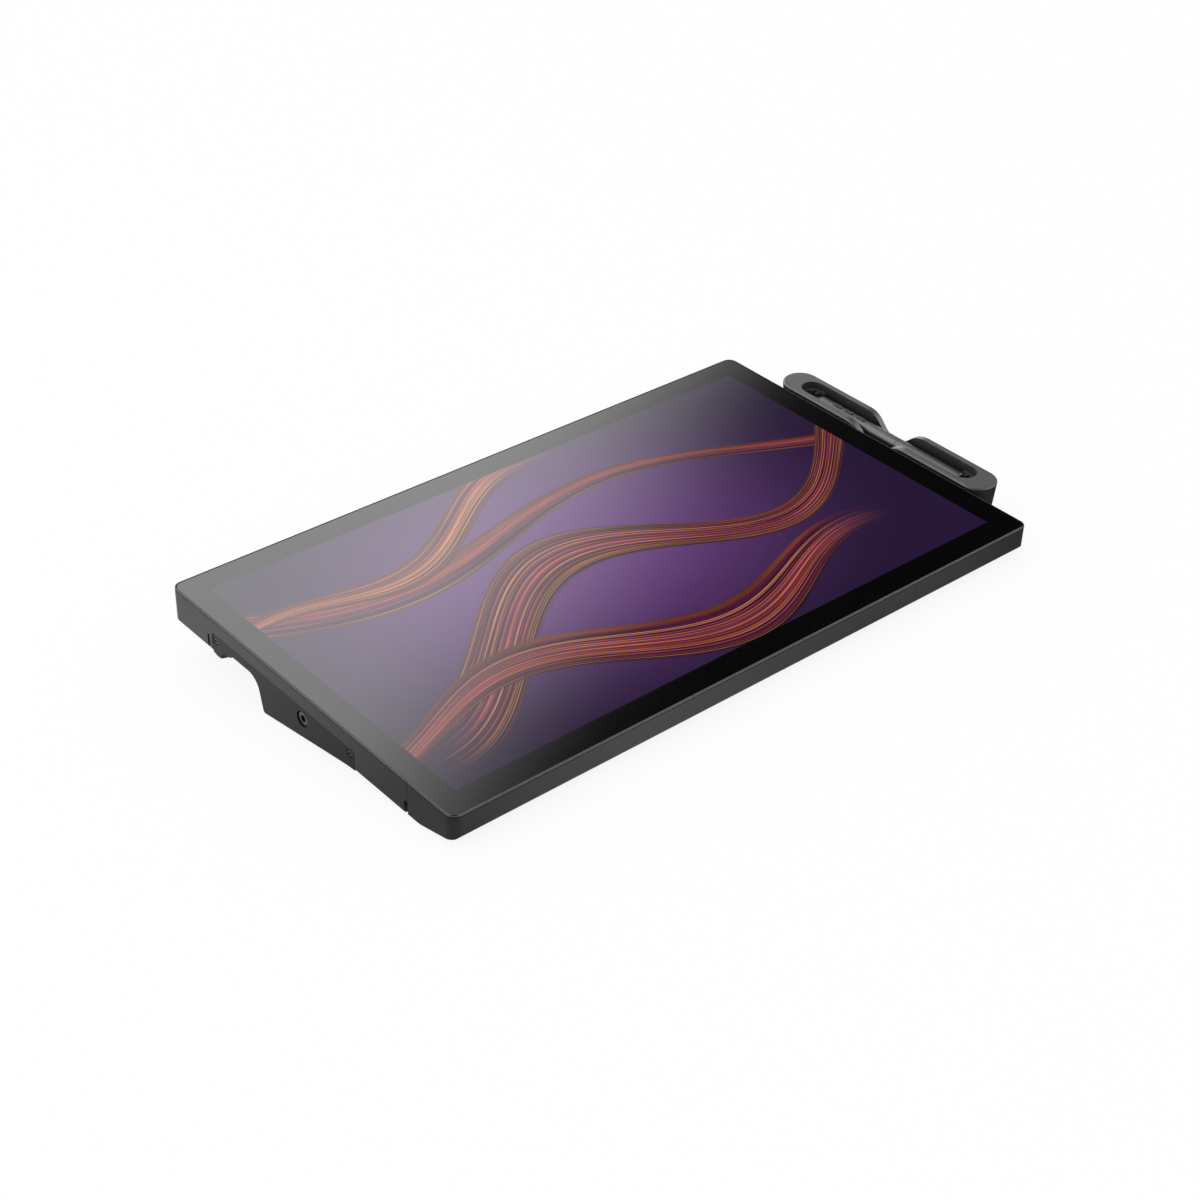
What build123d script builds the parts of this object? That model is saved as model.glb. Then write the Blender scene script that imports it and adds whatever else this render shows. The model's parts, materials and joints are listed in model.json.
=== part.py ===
from build123d import *
import os
from math import atan2, cos, degrees, radians, sin, tan

# A pen display with a pen tray on its right side and the pen lying in it, in millimetres.
# Every piece is drawn in the tablet's own frame: x to the right, y to the back, z square to the
# screen, with the middle of the picture at x = y = 0 and the top of the glass at z = 0.
# Only at the end is everything leaned back together, so that the rubber feet stand on z = 0.

# The picture and the glass
active_wide = 476.6
active_deep = 268.1
bezel_side = 18.1
bezel_front = 21.1
bezel_back = 17.5
glass_tall = 1.5
glass_gap = 0.4
lip_wide = 0.8
lip_break = 0.3
lip_tall = 0.9
lip_seam = 0.45
lip_seam_deep = 0.4
corner_round = 7.0
mask_tall = 0.2
tape_tall = 0.3

# The layers under the glass
sensor_margin = 8.0
sensor_tall = 0.5
panel_margin = 4.5
panel_tall = 1.4
films_tall = 0.5
guide_tall = 3.0
guide_inset = 3.0
pan_sheet = 0.6
pan_play = 0.2
pen_board_tall = 0.8
shield_tall = 0.4
rim_play = 1.2
led_bar_deep = 2.0

# The case
slab_tall = 26.5
wall = 2.8
floor_wall = 2.4
bottom_round = 2.2
fit_gap = 0.3
seam_gap = 0.15
cover_seam = 0.45
trim_seam = 0.2
over = 1.0
front_slope_start = 39.4
front_slope = 13.1
front_edge_round = 2.5
trim_deep = 45.2
slot_top = 16.0
front_slot_wide = 2.9
back_strip_deep = 43.4
back_slot_wide = 2.3
back_slot_top = 15.0
strip_wall = 2.0

# The hump of the rear cover
cover_wall = 2.2
cover_rise = 12.9
hump_deep = 42.9
hump_from_back = 107.15
hump_slope = 9.45
hump_lean = 14.0
hump_edge_round = 2.5
hump_root_round = 6.0
hump_blend = 100.0

# The finger recess in the underside at each end of the hump
grip_roof = 18.2
grip_root_round = 12.0
grip_flat_from_back = 73.1
ridge_from_back = 57.4
ridge_deep = 28.9
ridge_end_from_back = 48.75
ridge_round = 11.0
grip_ramp_wide = 14.5
grip_wide = 58.0
grip_from_back = 53.75
grip_back_round = 3.0

# The side covers with their two screws and the accessory insert
side_tall = 3.0
side_top = 10.5
side_from_front = 99.35
side_from_back = 48.75
side_round = 4.0
side_edge_round = 0.4
rail_tall = 2.0
side_screw_z = -16.0
side_screw_from_back = 4.5
side_screw_from_front = 5.5
side_screw_head = 2.3
side_screw_head_tall = 1.3
side_screw_sink = 0.3
side_screw_r = 1.25
side_screw_long = 7.0
side_boss_r = 3.4
side_ring_wide = 0.7
hex_across_share = 0.45
hex_deep_share = 0.6
insert_from_hump = 45.6
insert_z = -20.4
insert_counterbore_r = 5.8
insert_flange_r = 4.7
insert_flange_tall = 2.2
insert_body_r = 3.8
insert_hole_r = 2.55
insert_long = 11.0
insert_boss_r = 6.4
scoop_r = 9.5
scoop_from_back = 17.75
scoop_z = -28.1

# The stand inserts, on the 75 mm square of small displays
stand_pitch = 75.0
stand_hole_r = 1.65
stand_insert_r = 3.0
stand_insert_long = 7.0
stand_boss_r = 5.2
chip_room = 1.0

# The feet
foot_r = 6.0
foot_from_grip = 14.6
front_foot_from_front = 54.35
front_foot_tall = 1.8
hump_foot_from_back = 15.6
hump_foot_tall = 2.4
foot_reach = 14.0

# Screws
frame_screw_r = 1.25
frame_screw_long = 6.5
frame_screw_head_r = 2.0
frame_screw_head_tall = 1.4
frame_screw_inset = 7.4
side_screw_y_shares = (-0.7, -0.25, 0.25, 0.7)
long_screw_x_shares = (-0.8, -0.4, 0.0, 0.4, 0.8)
thread_clear = 0.05
screw_clear = 0.2
cover_screw_r = 1.5
cover_screw_long = 9.0
cover_screw_head_r = 2.8
cover_screw_head_tall = 1.7
cover_screw_sink = 2.0
cover_boss_r = 5.0
cover_boss_rise = 1.6
back_cover_screw_x_shares = (-0.6, -0.2, 0.2, 0.6)
front_cover_screw_x_shares = (-0.43, 0.0, 0.43)
post_r = 3.6

# Ports
bay_from_grip = 91.6
bay_from_hump = 5.1
bay_wall = 1.8
bay_tall = 10.7
bay_roof = 26.7
panel_sheet = 2.0
port_clear = 0.2
usb_wide = 9.0
usb_high = 3.3
hdmi_wide = 15.0
hdmi_high = 5.6
dp_wide = 17.0
dp_high = 6.0
dc_wide = 9.5
dc_high = 8.0
dc_pin_r = 1.0
dc_barrel_r = 3.2
port_deep = 11.0
port_shell = 0.5
port_tongue_share = 0.3
middle_port_share = 0.5356
side_port_shares = (0.372, 0.7686)

# Boards
board_tall = 1.6
board_from_bay = 2.0
board_deep = 45.6
board_from_hump = 8.0
board_z = -27.4
board_post_r = 3.0
chip_wide = 18.0
chip_tall = 1.4
small_board_tall = 1.2
small_board_drop = 4.0
pen_control_wide = 150.0
pen_control_deep = 26.0
led_driver_wide = 110.0
led_driver_deep = 24.0
small_boards_apart_share = 0.466
part_wide = 9.0
part_tall = 1.3
board_part_shares = (-0.75, -0.45, 0.3, 0.55, 0.8)
small_part_shares = (-0.32, -0.1, 0.12, 0.34)
small_board_post_share = 0.4

# Fans and heat spreader
fan_wide = 46.0
fan_tall = 9.0
fan_wall = 1.0
fan_from_grip = 49.6
fan_from_hump = 47.6
fan_well_r = 20.5
fan_eye_r = 13.0
fan_pin_r = 1.5
fan_pin_clear = 0.05
rotor_hub_r = 7.0
rotor_r = 18.5
rotor_tall = 6.0
blade_thick = 0.7
blade_count = 15
duct_wide = 34.0
plate_tall = 1.8
plate_deep = 12.0
fin_deep = 10.0
fin_thick = 0.8
fin_count = 10
fin_gap_to_fan = 1.0

# Air slits
slit_wide = 2.0
slit_pitch = 5.0
slit_count = 8
intake_long = 34.0
exhaust_high = 8.0

# Rear keys and their switches
key_x = 35.0
key_wide = 14.0
key_long = 9.2
key_pitch = 11.2
key_first_from_hump = 12.4
key_count = 4
key_proud = 1.0
key_round = 1.6
key_gap = 0.25
key_flange = 0.9
key_flange_tall = 0.8
key_travel = 0.8
key_roof = 1.8
switch_gap = 0.1
switch_wide = 4.5
switch_tall = 1.6
key_board_tall = 1.0
key_board_margin = 2.0
key_post_steps = (0, 3)

# Power button and touch slider on the back edge
control_z = -17.0
power_from_side = 52.6
power_wide = 13.0
power_high = 4.0
power_proud = 0.4
power_travel = 0.8
flange_margin = 1.2
flange_tall = 1.2
touch_from_power = 30.0
touch_wide = 4.5
touch_high = 3.0
touch_proud = 0.6
touch_travel = 4.0
control_block_tall = 3.6
bracket_tall = 1.6
bracket_margin = 3.0
back_switch_wide = 6.0

# The pen tray
tray_gap = 2.2
tray_wide = 29.4
tray_end_wall = 18.0
tray_tall = 25.0
tray_rise = 1.3
tray_draft = 4.5
tray_edge_round = 1.2
pocket_wide = 18.3
nose_room = 8.5
tail_room = 11.9
pocket_deep = 21.5
scoop_deep = 12.2
scoop_reach = 32.0
scoop_top_half = 22.0
scoop_low_half = 7.5
scoop_crest_round = 20.0
scoop_low_round = 16.0
tray_block_half = 9.0
tray_boss_r = 9.0
tray_boss_deep = 5.0
spacer_r = 8.0
spacer_neck_r = 5.0
tray_screw_r = 3.1
tray_screw_head_r = 5.5
tray_screw_head_tall = 3.4
tray_screw_seat = 3.0
insert_play = 0.15
ledge_deep = 4.0
ledge_long = 15.5
insert_sheet = 1.2
skirt_sheet = 1.2
notch_arm = 5.6
notch_wide = 3.2
notch_channel = 4.4
notch_back = 7.6
notch_front = 8.2
notch_beyond = 4.6
pen_slot_wide = 12.4
cradle_long = 6.0
cradle_y = 52.0
cradle_top = 10.5
upward_share = 0.3
nib_store_count = 5
nib_store_from_block = 13.0
nib_store_from_ledge = 4.0
spare_nib_long = 6.6

# The pen
pen_r = 5.8
pen_z = -8.2
pen_long = 155.0
pen_y = -0.3
pen_cone_long = 9.4
nib_out = 1.8
pen_nose_r = 1.5
pen_joint_from_tip = 92.2
pen_tail_round = 1.2
joint_groove = 0.25
joint_groove_wide = 0.5
pen_shell = 1.4
pen_rest_gap = 0.2
nib_r = 0.8
nib_gap = 0.12
nib_inside = 20.0
nib_travel = 1.0
core_wide = 8.2
core_tall = 1.2
core_from_tip = 13.6
core_from_tail = 15.8
coil_r = 3.4
coil_long = 9.0
plate_seam_wide = 4.6
plate_seam_from_tip = 22.6
plate_seam_long = 36.0
plate_seam = 0.25
plate_seam_deep = 0.35
seam_floor_share = 0.5
pen_key_long = 9.0
pen_key_wide = 3.2
pen_key_proud = 0.55
pen_key_round = 0.44
pen_key_gap = 0.15
pen_key_travel = 0.4
pen_key_ys_share = (0.84, 0.5, 0.16)

# Places that follow from the sizes above
case_half = active_wide / 2 + bezel_side + glass_gap + lip_wide
case_front = -(active_deep / 2 + bezel_front + glass_gap + lip_wide)
case_back = active_deep / 2 + bezel_back + glass_gap + lip_wide
mask_z = -glass_tall
sensor_z = mask_z - mask_tall
ledge_z = sensor_z - tape_tall
panel_z = sensor_z - sensor_tall
films_z = panel_z - panel_tall
guide_z = films_z - films_tall
pan_z = guide_z - guide_tall
pen_board_z = pan_z - pan_sheet
shield_z = pen_board_z - pen_board_tall
frame_z = shield_z - shield_tall
frame_tall = 2.0
inside_z = frame_z - frame_tall
stack_half = active_wide / 2 + sensor_margin
stack_deep = active_deep / 2 + sensor_margin
rim_half = stack_half + rim_play
rim_deep = stack_deep + rim_play
trim_end = case_front + trim_deep
strip_start = case_back - back_strip_deep
cover_half = case_half - wall - fit_gap
cover_front = trim_end + front_slot_wide
cover_back = strip_start - back_slot_wide
side_in = case_half - side_tall
rail_in = side_in - rail_tall
frame_half = rail_in - fit_gap
screw_x = frame_half - frame_screw_head_r
screw_y_front = case_front + frame_screw_inset
screw_y_back = case_back - frame_screw_inset
hump_back = case_back - hump_from_back
grip_flat_end = case_back - grip_flat_from_back
ridge_y = case_back - ridge_from_back
ridge_end = case_back - ridge_end_from_back
grip_back = case_back - grip_from_back
side_front = case_front + side_from_front
side_back = case_back - side_from_back
side_screw_y_back = side_back - side_screw_from_back
side_screw_y_front = side_front + side_screw_from_front
insert_y = hump_back - insert_from_hump
scoop_y = side_back - scoop_from_back
front_foot_y = case_front + front_foot_from_front
hump_foot_y = hump_back - hump_foot_from_back
bay_face = hump_back - bay_from_hump
board_back = hump_back - board_from_hump
board_front = board_back - board_deep
fan_y = hump_back - fan_from_hump
intake_y = fan_y
key_first = hump_back + key_first_from_hump
hump_rise = tan(radians(hump_slope))
hump_draft = tan(radians(hump_lean))
grip_in = case_half - grip_wide
grip_ramp_in = cover_half - grip_ramp_wide
bay_half = grip_in - bay_from_grip
board_half = bay_half - board_from_bay
foot_x = grip_in - foot_from_grip
fan_x = grip_in - fan_from_grip
power_x = case_half - power_from_side
touch_x = power_x - touch_from_power
pen_control_x = -small_boards_apart_share * case_half
led_driver_x = small_boards_apart_share * case_half
tray_x = case_half + tray_gap + tray_wide / 2
tray_in = case_half + tray_gap
tray_out = tray_in + tray_wide
pen_tail = pen_y - pen_long / 2
pen_tip = pen_y + pen_long / 2
pen_nose_end = pen_tip - nib_out
pen_shoulder = pen_nose_end - pen_cone_long
pen_joint = pen_tip - pen_joint_from_tip
core_front = pen_tip - core_from_tip
core_back = pen_tail + core_from_tail
plate_seam_front = pen_tip - plate_seam_from_tip
plate_seam_back = plate_seam_front - plate_seam_long
pocket_long = pen_long + nose_room + tail_room
pocket_y = (pen_tip + nose_room + pen_tail - tail_room) / 2
tray_long = pocket_long + tray_end_wall * 2
tray_y = pocket_y
key_roof_z = -grip_roof + key_roof
key_board_z = key_roof_z + key_flange_tall + key_travel + switch_gap + switch_tall
hump_long = (hump_deep - slab_tall) / hump_rise
blend_y = hump_back - hump_long
side_screw_ys = [share * stack_deep for share in side_screw_y_shares]
long_screw_xs = [share * frame_half for share in long_screw_x_shares]
cover_screw_front_y = cover_front + wall + cover_boss_r
cover_screw_back_y = cover_back - wall - cover_boss_r
small_board_y = (cover_screw_front_y + post_r + fan_y - fan_wide / 2) / 2
board_low = board_z - board_tall
spreader_y = (board_front + board_back) / 2
bracket_y = case_back - wall - flange_tall - power_travel - switch_gap - control_block_tall
bracket_x = (touch_x - touch_wide - bracket_margin, power_x + power_wide / 2 + bracket_margin)
tray_full = tray_tall + tray_rise
tray_shrink = tray_full * tan(radians(tray_draft))
insert_low = pen_z - pen_r - pen_rest_gap - insert_sheet
nib_store_front = insert_y + tray_block_half + nib_store_from_block
nib_store_back = pocket_y + pocket_long / 2 - insert_play - ledge_long - nib_store_from_ledge
between_stands = stand_pitch / 2 - stand_boss_r
beyond_stands = stand_pitch / 2 + stand_boss_r

# The rest plane goes through the front foot and the hump foot
front_foot_z = -slab_tall - front_foot_tall
hump_foot_z = -hump_deep + (hump_back - hump_foot_y) * hump_rise - hump_foot_tall
rest_tilt = degrees(atan2(front_foot_z - hump_foot_z, hump_foot_y - front_foot_y))


def block(x, y, z):
    size = Box(x[1] - x[0], y[1] - y[0], z[1] - z[0], align=(Align.MIN, Align.MIN, Align.MIN))
    return Pos(x[0], y[0], z[0]) * size


def plate(x, y, z, corner):
    outline = RectangleRounded(x[1] - x[0], y[1] - y[0], corner)
    return Pos((x[0] + x[1]) / 2, (y[0] + y[1]) / 2, z[0]) * extrude(outline, z[1] - z[0])


def around(half):
    return (-half, half)


def rod_z(x, y, radius, z):
    return Pos(x, y, z[0]) * Cylinder(radius, z[1] - z[0], align=(Align.CENTER, Align.CENTER, Align.MIN))


def rod_x(y, z, radius, x):
    turned = Rot(0, 90, 0) * Cylinder(radius, x[1] - x[0], align=(Align.CENTER, Align.CENTER, Align.MIN))
    return Pos(x[0], y, z) * turned


def rod_y(x, z, radius, y):
    turned = Rot(-90, 0, 0) * Cylinder(radius, y[1] - y[0], align=(Align.CENTER, Align.CENTER, Align.MIN))
    return Pos(x, y[0], z) * turned


# A shape in the y and z plane from its corners, each with the radius that rounds it
def outline(corners):
    ends = []
    for before, here, after in zip(corners[-1:] + corners[:-1], corners, corners[1:] + corners[:1]):
        corner = Vector(here[0], here[1])
        if not here[2]:
            ends.append((corner, corner, corner))
            continue
        back = (Vector(before[0], before[1]) - corner).normalized()
        ahead = (Vector(after[0], after[1]) - corner).normalized()
        half_turn = radians(back.get_angle(ahead)) / 2
        middle = corner + (back + ahead).normalized() * (here[2] / sin(half_turn))
        reach = here[2] / tan(half_turn)
        crown = middle + (corner - middle).normalized() * here[2]
        ends.append((corner + back * reach, crown, corner + ahead * reach))
    edges = []
    for here, after in zip(ends, ends[1:] + ends[:1]):
        if here[0] != here[2]:
            edges.append(ThreePointArc(*here))
        edges.append(Line(here[2], after[0]))
    return make_face(edges)


def across(face, x):
    return extrude(Plane.YZ.offset(x[0]) * face, x[1] - x[0])


def left_and_right(shape):
    return shape + mirror(shape, about=Plane.YZ)


# The depth of the hump's flat floor under a place along y
def hump_floor(y):
    return -hump_deep + (hump_back - y) * hump_rise


def hump_wall(z):
    return hump_back + (hump_deep + z) * hump_draft


# The underside between the two slits, up to a given height, in the middle of the tablet
def middle_outline(top, y_front, y_back):
    return outline([
        (y_front, top, 0),
        (y_front, -slab_tall, 0),
        (blend_y, -slab_tall, hump_blend),
        (hump_back, -hump_deep, hump_edge_round),
        (hump_wall(-slab_tall), -slab_tall, hump_root_round),
        (y_back, -slab_tall, 0),
        (y_back, top, 0),
    ])


# The same line at the sides, where the finger recess runs out through the wall
def ramp_outline(top, y_front, y_back):
    return outline([
        (y_front, top, 0),
        (y_front, -slab_tall, 0),
        (blend_y, -slab_tall, hump_blend),
        (hump_back, -hump_deep, hump_edge_round),
        (hump_wall(-grip_roof), -grip_roof, grip_root_round),
        (grip_flat_end, -grip_roof, 0),
        (ridge_y, -ridge_deep, ridge_round),
        (ridge_end, -slab_tall, 0),
        (y_back, -slab_tall, 0),
        (y_back, top, 0),
    ])


# The recess further in, where the keys sit on a flat roof
def pocket_outline(top, y_front, y_back):
    return outline([
        (y_front, top, 0),
        (y_front, -slab_tall, 0),
        (blend_y, -slab_tall, hump_blend),
        (hump_back, -hump_deep, hump_edge_round),
        (hump_wall(-grip_roof), -grip_roof, grip_back_round),
        (grip_back, -grip_roof, grip_back_round),
        (grip_back, -slab_tall, 0),
        (y_back, -slab_tall, 0),
        (y_back, top, 0),
    ])


# The whole case without its hump: a rounded slab with a slope under its front
def case_block():
    slab = plate(around(case_half), (case_front, case_back), (-slab_tall, 0), corner_round)
    slab = fillet(slab.faces().sort_by(Axis.Z)[0].edges(), bottom_round)
    slab = chamfer(slab.faces().sort_by(Axis.Z)[-1].edges(), lip_break)
    # the fine seam that sets the lip round the glass apart from the wall
    seam_z = (-lip_tall - lip_seam, -lip_tall)
    seam = plate(around(case_half + over), (case_front - over, case_back + over), seam_z, corner_round)
    seam = seam - plate(
        around(case_half - lip_seam_deep), (case_front + lip_seam_deep, case_back - lip_seam_deep), seam_z,
        corner_round - lip_seam_deep)
    slab = slab - seam
    slope_y = case_front + front_slope_start
    front_wall = -slab_tall + front_slope_start * tan(radians(front_slope))
    side = outline([
        (case_front, 0, 0),
        (case_front, front_wall, front_edge_round),
        (slope_y, -slab_tall, 0),
        (case_back, -slab_tall, 0),
        (case_back, 0, 0),
    ])
    return slab & across(side, around(case_half))


# What the glass and the layers under it take out of the case
def screen_well():
    glass_bay = plate(
        around(case_half - lip_wide), (case_front + lip_wide, case_back - lip_wide), (ledge_z, over),
        corner_round - lip_wide)
    stack_bay = block(around(rim_half), around(rim_deep), (frame_z, ledge_z))
    frame_bay = block(
        around(frame_half + fit_gap), (case_front + wall, case_back - wall), (inside_z - fit_gap, frame_z))
    return glass_bay + stack_bay + frame_bay


def frame_screw_places():
    sides = [(sign * screw_x, y) for sign in (-1, 1) for y in side_screw_ys]
    front = [(x, screw_y_front) for x in long_screw_xs]
    back = [(x, screw_y_back) for x in long_screw_xs]
    return sides + front + back


def frame_screw_holes(radius, z):
    holes = [rod_z(x, y, radius, z) for x, y in frame_screw_places()]
    return Part() + holes


def middle_screw_places():
    back = [(share * cover_half, cover_screw_back_y) for share in back_cover_screw_x_shares]
    front = [(share * cover_half, cover_screw_front_y) for share in front_cover_screw_x_shares]
    return back + front


def grip_screw_place():
    return (grip_in + cover_half) / 2, cover_screw_front_y


def cover_screw_places():
    x, y = grip_screw_place()
    return middle_screw_places() + [(-x, y), (x, y)]


def main_housing():
    body = case_block() & block(around(case_half), (trim_end + trim_seam, case_back), (-slab_tall, 0))
    wide = around(case_half - wall)
    strip_y = (strip_start + strip_wall, case_back - wall)
    strip = block(wide, strip_y, (-slab_tall + floor_wall, frame_z))
    open_middle = block(wide, (trim_end - over, strip_start), (-slab_tall - over, frame_z))
    body = body - open_middle - strip
    rail = block(
        (rail_in, case_half - lip_wide), (side_front - wall, side_back + over),
        (-cover_rise + fit_gap, frame_z))
    body = body + left_and_right(rail)
    body = body - screen_well()
    # the notch for the side cover, with rounded upper corners
    notch = outline([
        (side_front, -slab_tall - over, 0),
        (side_front, -side_top, side_round),
        (side_back, -side_top, side_round),
        (side_back, -slab_tall - over, 0),
    ])
    body = body - left_and_right(across(notch, (side_in, case_half + over)))
    front_slot = block(
        (rail_in, case_half + over), (trim_end - over, cover_front), (-slab_tall - over, -slot_top))
    back_slot = block(
        (case_half - wall - over, case_half + over), (cover_back, strip_start),
        (-slab_tall - over, -back_slot_top))
    body = body - left_and_right(front_slot) - left_and_right(back_slot)
    body = body - frame_screw_holes(frame_screw_r + thread_clear, (frame_z, frame_z + frame_screw_long))
    # slots for the two controls in the back wall, and the rib that holds their switches
    for x, wide_cut, high in control_cuts():
        cut = block(around(wide_cut / 2), (case_back - wall - over, case_back + over), around(high / 2))
        body = body - Pos(x, 0, control_z) * cut
    rib = block(
        bracket_x, (bracket_y - bracket_tall, bracket_y), (-slab_tall + floor_wall, control_z + power_high))
    return body + rib


def control_cuts():
    power = (power_x, power_wide + key_gap * 2, power_high + key_gap * 2)
    touch = (touch_x + touch_travel / 2, touch_wide + touch_travel + key_gap * 2, touch_high + key_gap * 2)
    return [power, touch]


def front_trim():
    body = case_block() & block(around(case_half), (case_front, trim_end - trim_seam), (-slab_tall, 0))
    slope_y = case_front + front_slope_start
    rise = tan(radians(front_slope))
    inner_front = case_front + wall
    inner_back = trim_end - trim_seam - front_slot_wide / 2 - wall
    hollow = outline([
        (inner_front, frame_z, 0),
        (inner_front, -slab_tall + floor_wall + (slope_y - inner_front) * rise, 0),
        (slope_y, -slab_tall + floor_wall, 0),
        (inner_back, -slab_tall + floor_wall, 0),
        (inner_back, frame_z, 0),
    ])
    body = body - across(hollow, around(case_half - wall)) - screen_well()
    slot = block(
        around(case_half + over), (trim_end - front_slot_wide / 4, trim_end), (-slab_tall - over, -slot_top))
    body = body - slot
    return body - frame_screw_holes(frame_screw_r + thread_clear, (frame_z, frame_z + frame_screw_long))


# A sheet of the cover glass's own outline
def glass_sheet(z):
    inset = lip_wide + glass_gap
    return plate(
        around(case_half - inset), (case_front + inset, case_back - inset), z, corner_round - inset)


def cover_glass():
    top = glass_sheet((mask_z, 0))
    return chamfer(top.faces().sort_by(Axis.Z)[-1].edges(), lip_break)


def border_mask():
    return glass_sheet((sensor_z, mask_z)) - block(
        around(active_wide / 2), around(active_deep / 2), (sensor_z - over, over))


def glass_tape():
    opening = block(around(rim_half), around(rim_deep), (ledge_z - over, over))
    return glass_sheet((ledge_z, sensor_z)) - opening


def layer(margin, top, tall):
    return block(
        around(active_wide / 2 + margin), around(active_deep / 2 + margin), (top - tall, top))


def light_guide():
    front = -active_deep / 2 - guide_inset + led_bar_deep
    back = active_deep / 2 + guide_inset
    return block(around(active_wide / 2 + guide_inset), (front, back), (pan_z, guide_z))


def led_bar():
    front = -active_deep / 2 - guide_inset - seam_gap
    return block(around(active_wide / 2 + guide_inset), (front, front + led_bar_deep), (pan_z, guide_z))


def backlight_tray():
    inner = panel_margin + pan_play
    outer = inner + pan_sheet
    pan = layer(outer, panel_z, panel_z - pen_board_z)
    return pan - layer(inner, panel_z + over, panel_z + over - pan_z)


def pen_sensor_board():
    return layer(sensor_margin, pen_board_z, pen_board_tall)


def mid_frame():
    inset = wall + fit_gap
    sheet = plate(
        around(frame_half), (case_front + inset, case_back - inset), (inside_z, frame_z), corner_round - wall)
    return sheet - frame_screw_holes(frame_screw_r + screw_clear, (inside_z - over, frame_z + over))


# Posts under the mid frame: tall ones for the rear cover's screws, short ones for the boards
def frame_posts():
    posts = [
        rod_z(x, y, post_r, (-slab_tall + cover_wall + cover_boss_rise, inside_z))
        - rod_z(x, y, cover_screw_r + thread_clear, (-slab_tall, inside_z - over))
        for x, y in cover_screw_places()]
    posts += [rod_z(x, y, board_post_r, (board_z, inside_z)) for x, y in board_post_places()]
    posts += [
        rod_z(x, small_board_y, board_post_r, (inside_z - small_board_drop, inside_z))
        for x in small_board_post_xs()]
    posts += [
        rod_z(x, key_first + key_pitch * step, switch_wide / 2, (key_board_z + key_board_tall, inside_z))
        for x in (key_x - case_half, case_half - key_x) for step in key_post_steps]
    return Part() + posts


def small_board_post_xs():
    boards = ((pen_control_x, pen_control_wide), (led_driver_x, led_driver_wide))
    return [centre + side * wide * small_board_post_share for centre, wide in boards for side in (-1, 1)]


def board_post_places():
    inset = board_post_r + fit_gap
    ys = (board_front + inset, board_back - inset)
    return [(x, y) for x in (-board_half + inset, board_half - inset) for y in ys]


# The rear cover: a shell with the hump, open at its top, with a cut-out for the port bay
def rear_cover():
    high = -cover_rise + cover_wall + over
    shell = across(middle_outline(-cover_rise, cover_front, cover_back), around(grip_in))
    shell = shell - across(
        offset(middle_outline(high, cover_front, cover_back), -cover_wall), around(grip_in - cover_wall))
    bosses = [screw_boss(x, y) for x, y in middle_screw_places()]
    # each insert's bore runs on past it and out of the boss, so that the screw has room for chips
    boss_tall = stand_insert_long + chip_room
    bosses += [hump_rod(x, y, stand_boss_r, cover_wall / 2, boss_tall) for x, y in stand_places()]
    shell = shell + bosses
    cuts = [screw_cut(x, y) for x, y in middle_screw_places()]
    cuts += [hump_rod(x, y, stand_insert_r, -over, boss_tall + over) for x, y in stand_places()]
    cuts += air_slits()
    cuts.append(bay_block(seam_gap, over))
    return shell - (Part() + cuts)


# The moulding at each end of the hump, with the finger recess and the holes for its keys
def grip_cover(sign):
    pocket_in = offset(pocket_outline(-cover_rise + key_roof + over, cover_front, cover_back), -key_roof)
    ramp_in = offset(ramp_outline(-cover_rise + cover_wall + over, cover_front, cover_back), -cover_wall)
    pocket = across(pocket_outline(-cover_rise, cover_front, cover_back), (grip_in + seam_gap, grip_ramp_in))
    ramp = across(ramp_outline(-cover_rise, cover_front, cover_back), (grip_ramp_in, cover_half))
    # near the step between the two outlines a place is hollow only if it is hollow under both
    step_in = grip_ramp_in - cover_wall
    step_out = grip_ramp_in + cover_wall
    step = (step_in - over, step_out + over)
    hollow = across(pocket_in, (grip_in - over, step_in))
    hollow = hollow + across(ramp_in, (step_out, cover_half - cover_wall))
    hollow = hollow + (across(pocket_in, step) & across(ramp_in, step))
    shell = pocket + ramp - hollow
    x, y = grip_screw_place()
    bore_in = cover_half - insert_long - chip_room
    boss_out = cover_half - cover_wall / 2
    shell = shell + screw_boss(x, y)
    shell = shell + rod_x(insert_y, insert_z, insert_boss_r, (bore_in - cover_wall, boss_out))
    inside = block((0, cover_half), (side_front - wall, case_back), (-slab_tall, -cover_rise))
    for y_side in (side_screw_y_back, side_screw_y_front):
        boss = rod_x(y_side, side_screw_z, side_boss_r, (cover_half - side_screw_long, boss_out))
        shell = shell + (boss & inside)
    shell = shell - screw_cut(x, y)
    shell = shell - rod_x(insert_y, insert_z, insert_body_r, (bore_in, cover_half + over))
    for y_side in (side_screw_y_back, side_screw_y_front):
        thread = (cover_half - side_screw_long + wall, cover_half + over)
        shell = shell - rod_x(y_side, side_screw_z, side_screw_r + thread_clear, thread)
    for key_y in key_ys():
        hole = block(
            around(key_wide / 2 + key_gap), around(key_long / 2 + key_gap),
            (-grip_roof - over, key_roof_z + over))
        shell = shell - Pos(case_half - key_x, key_y, 0) * hole
    return shell if sign > 0 else mirror(shell, about=Plane.YZ)


def screw_boss(x, y):
    return rod_z(x, y, cover_boss_r, (-slab_tall, -slab_tall + cover_wall + cover_boss_rise))


def screw_cut(x, y):
    hole = rod_z(x, y, cover_screw_r + screw_clear, (-slab_tall - over, -slab_tall + cover_wall * 2))
    sink = (-slab_tall - over, -slab_tall + cover_screw_sink)
    return hole + rod_z(x, y, cover_screw_head_r + fit_gap, sink)


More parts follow.
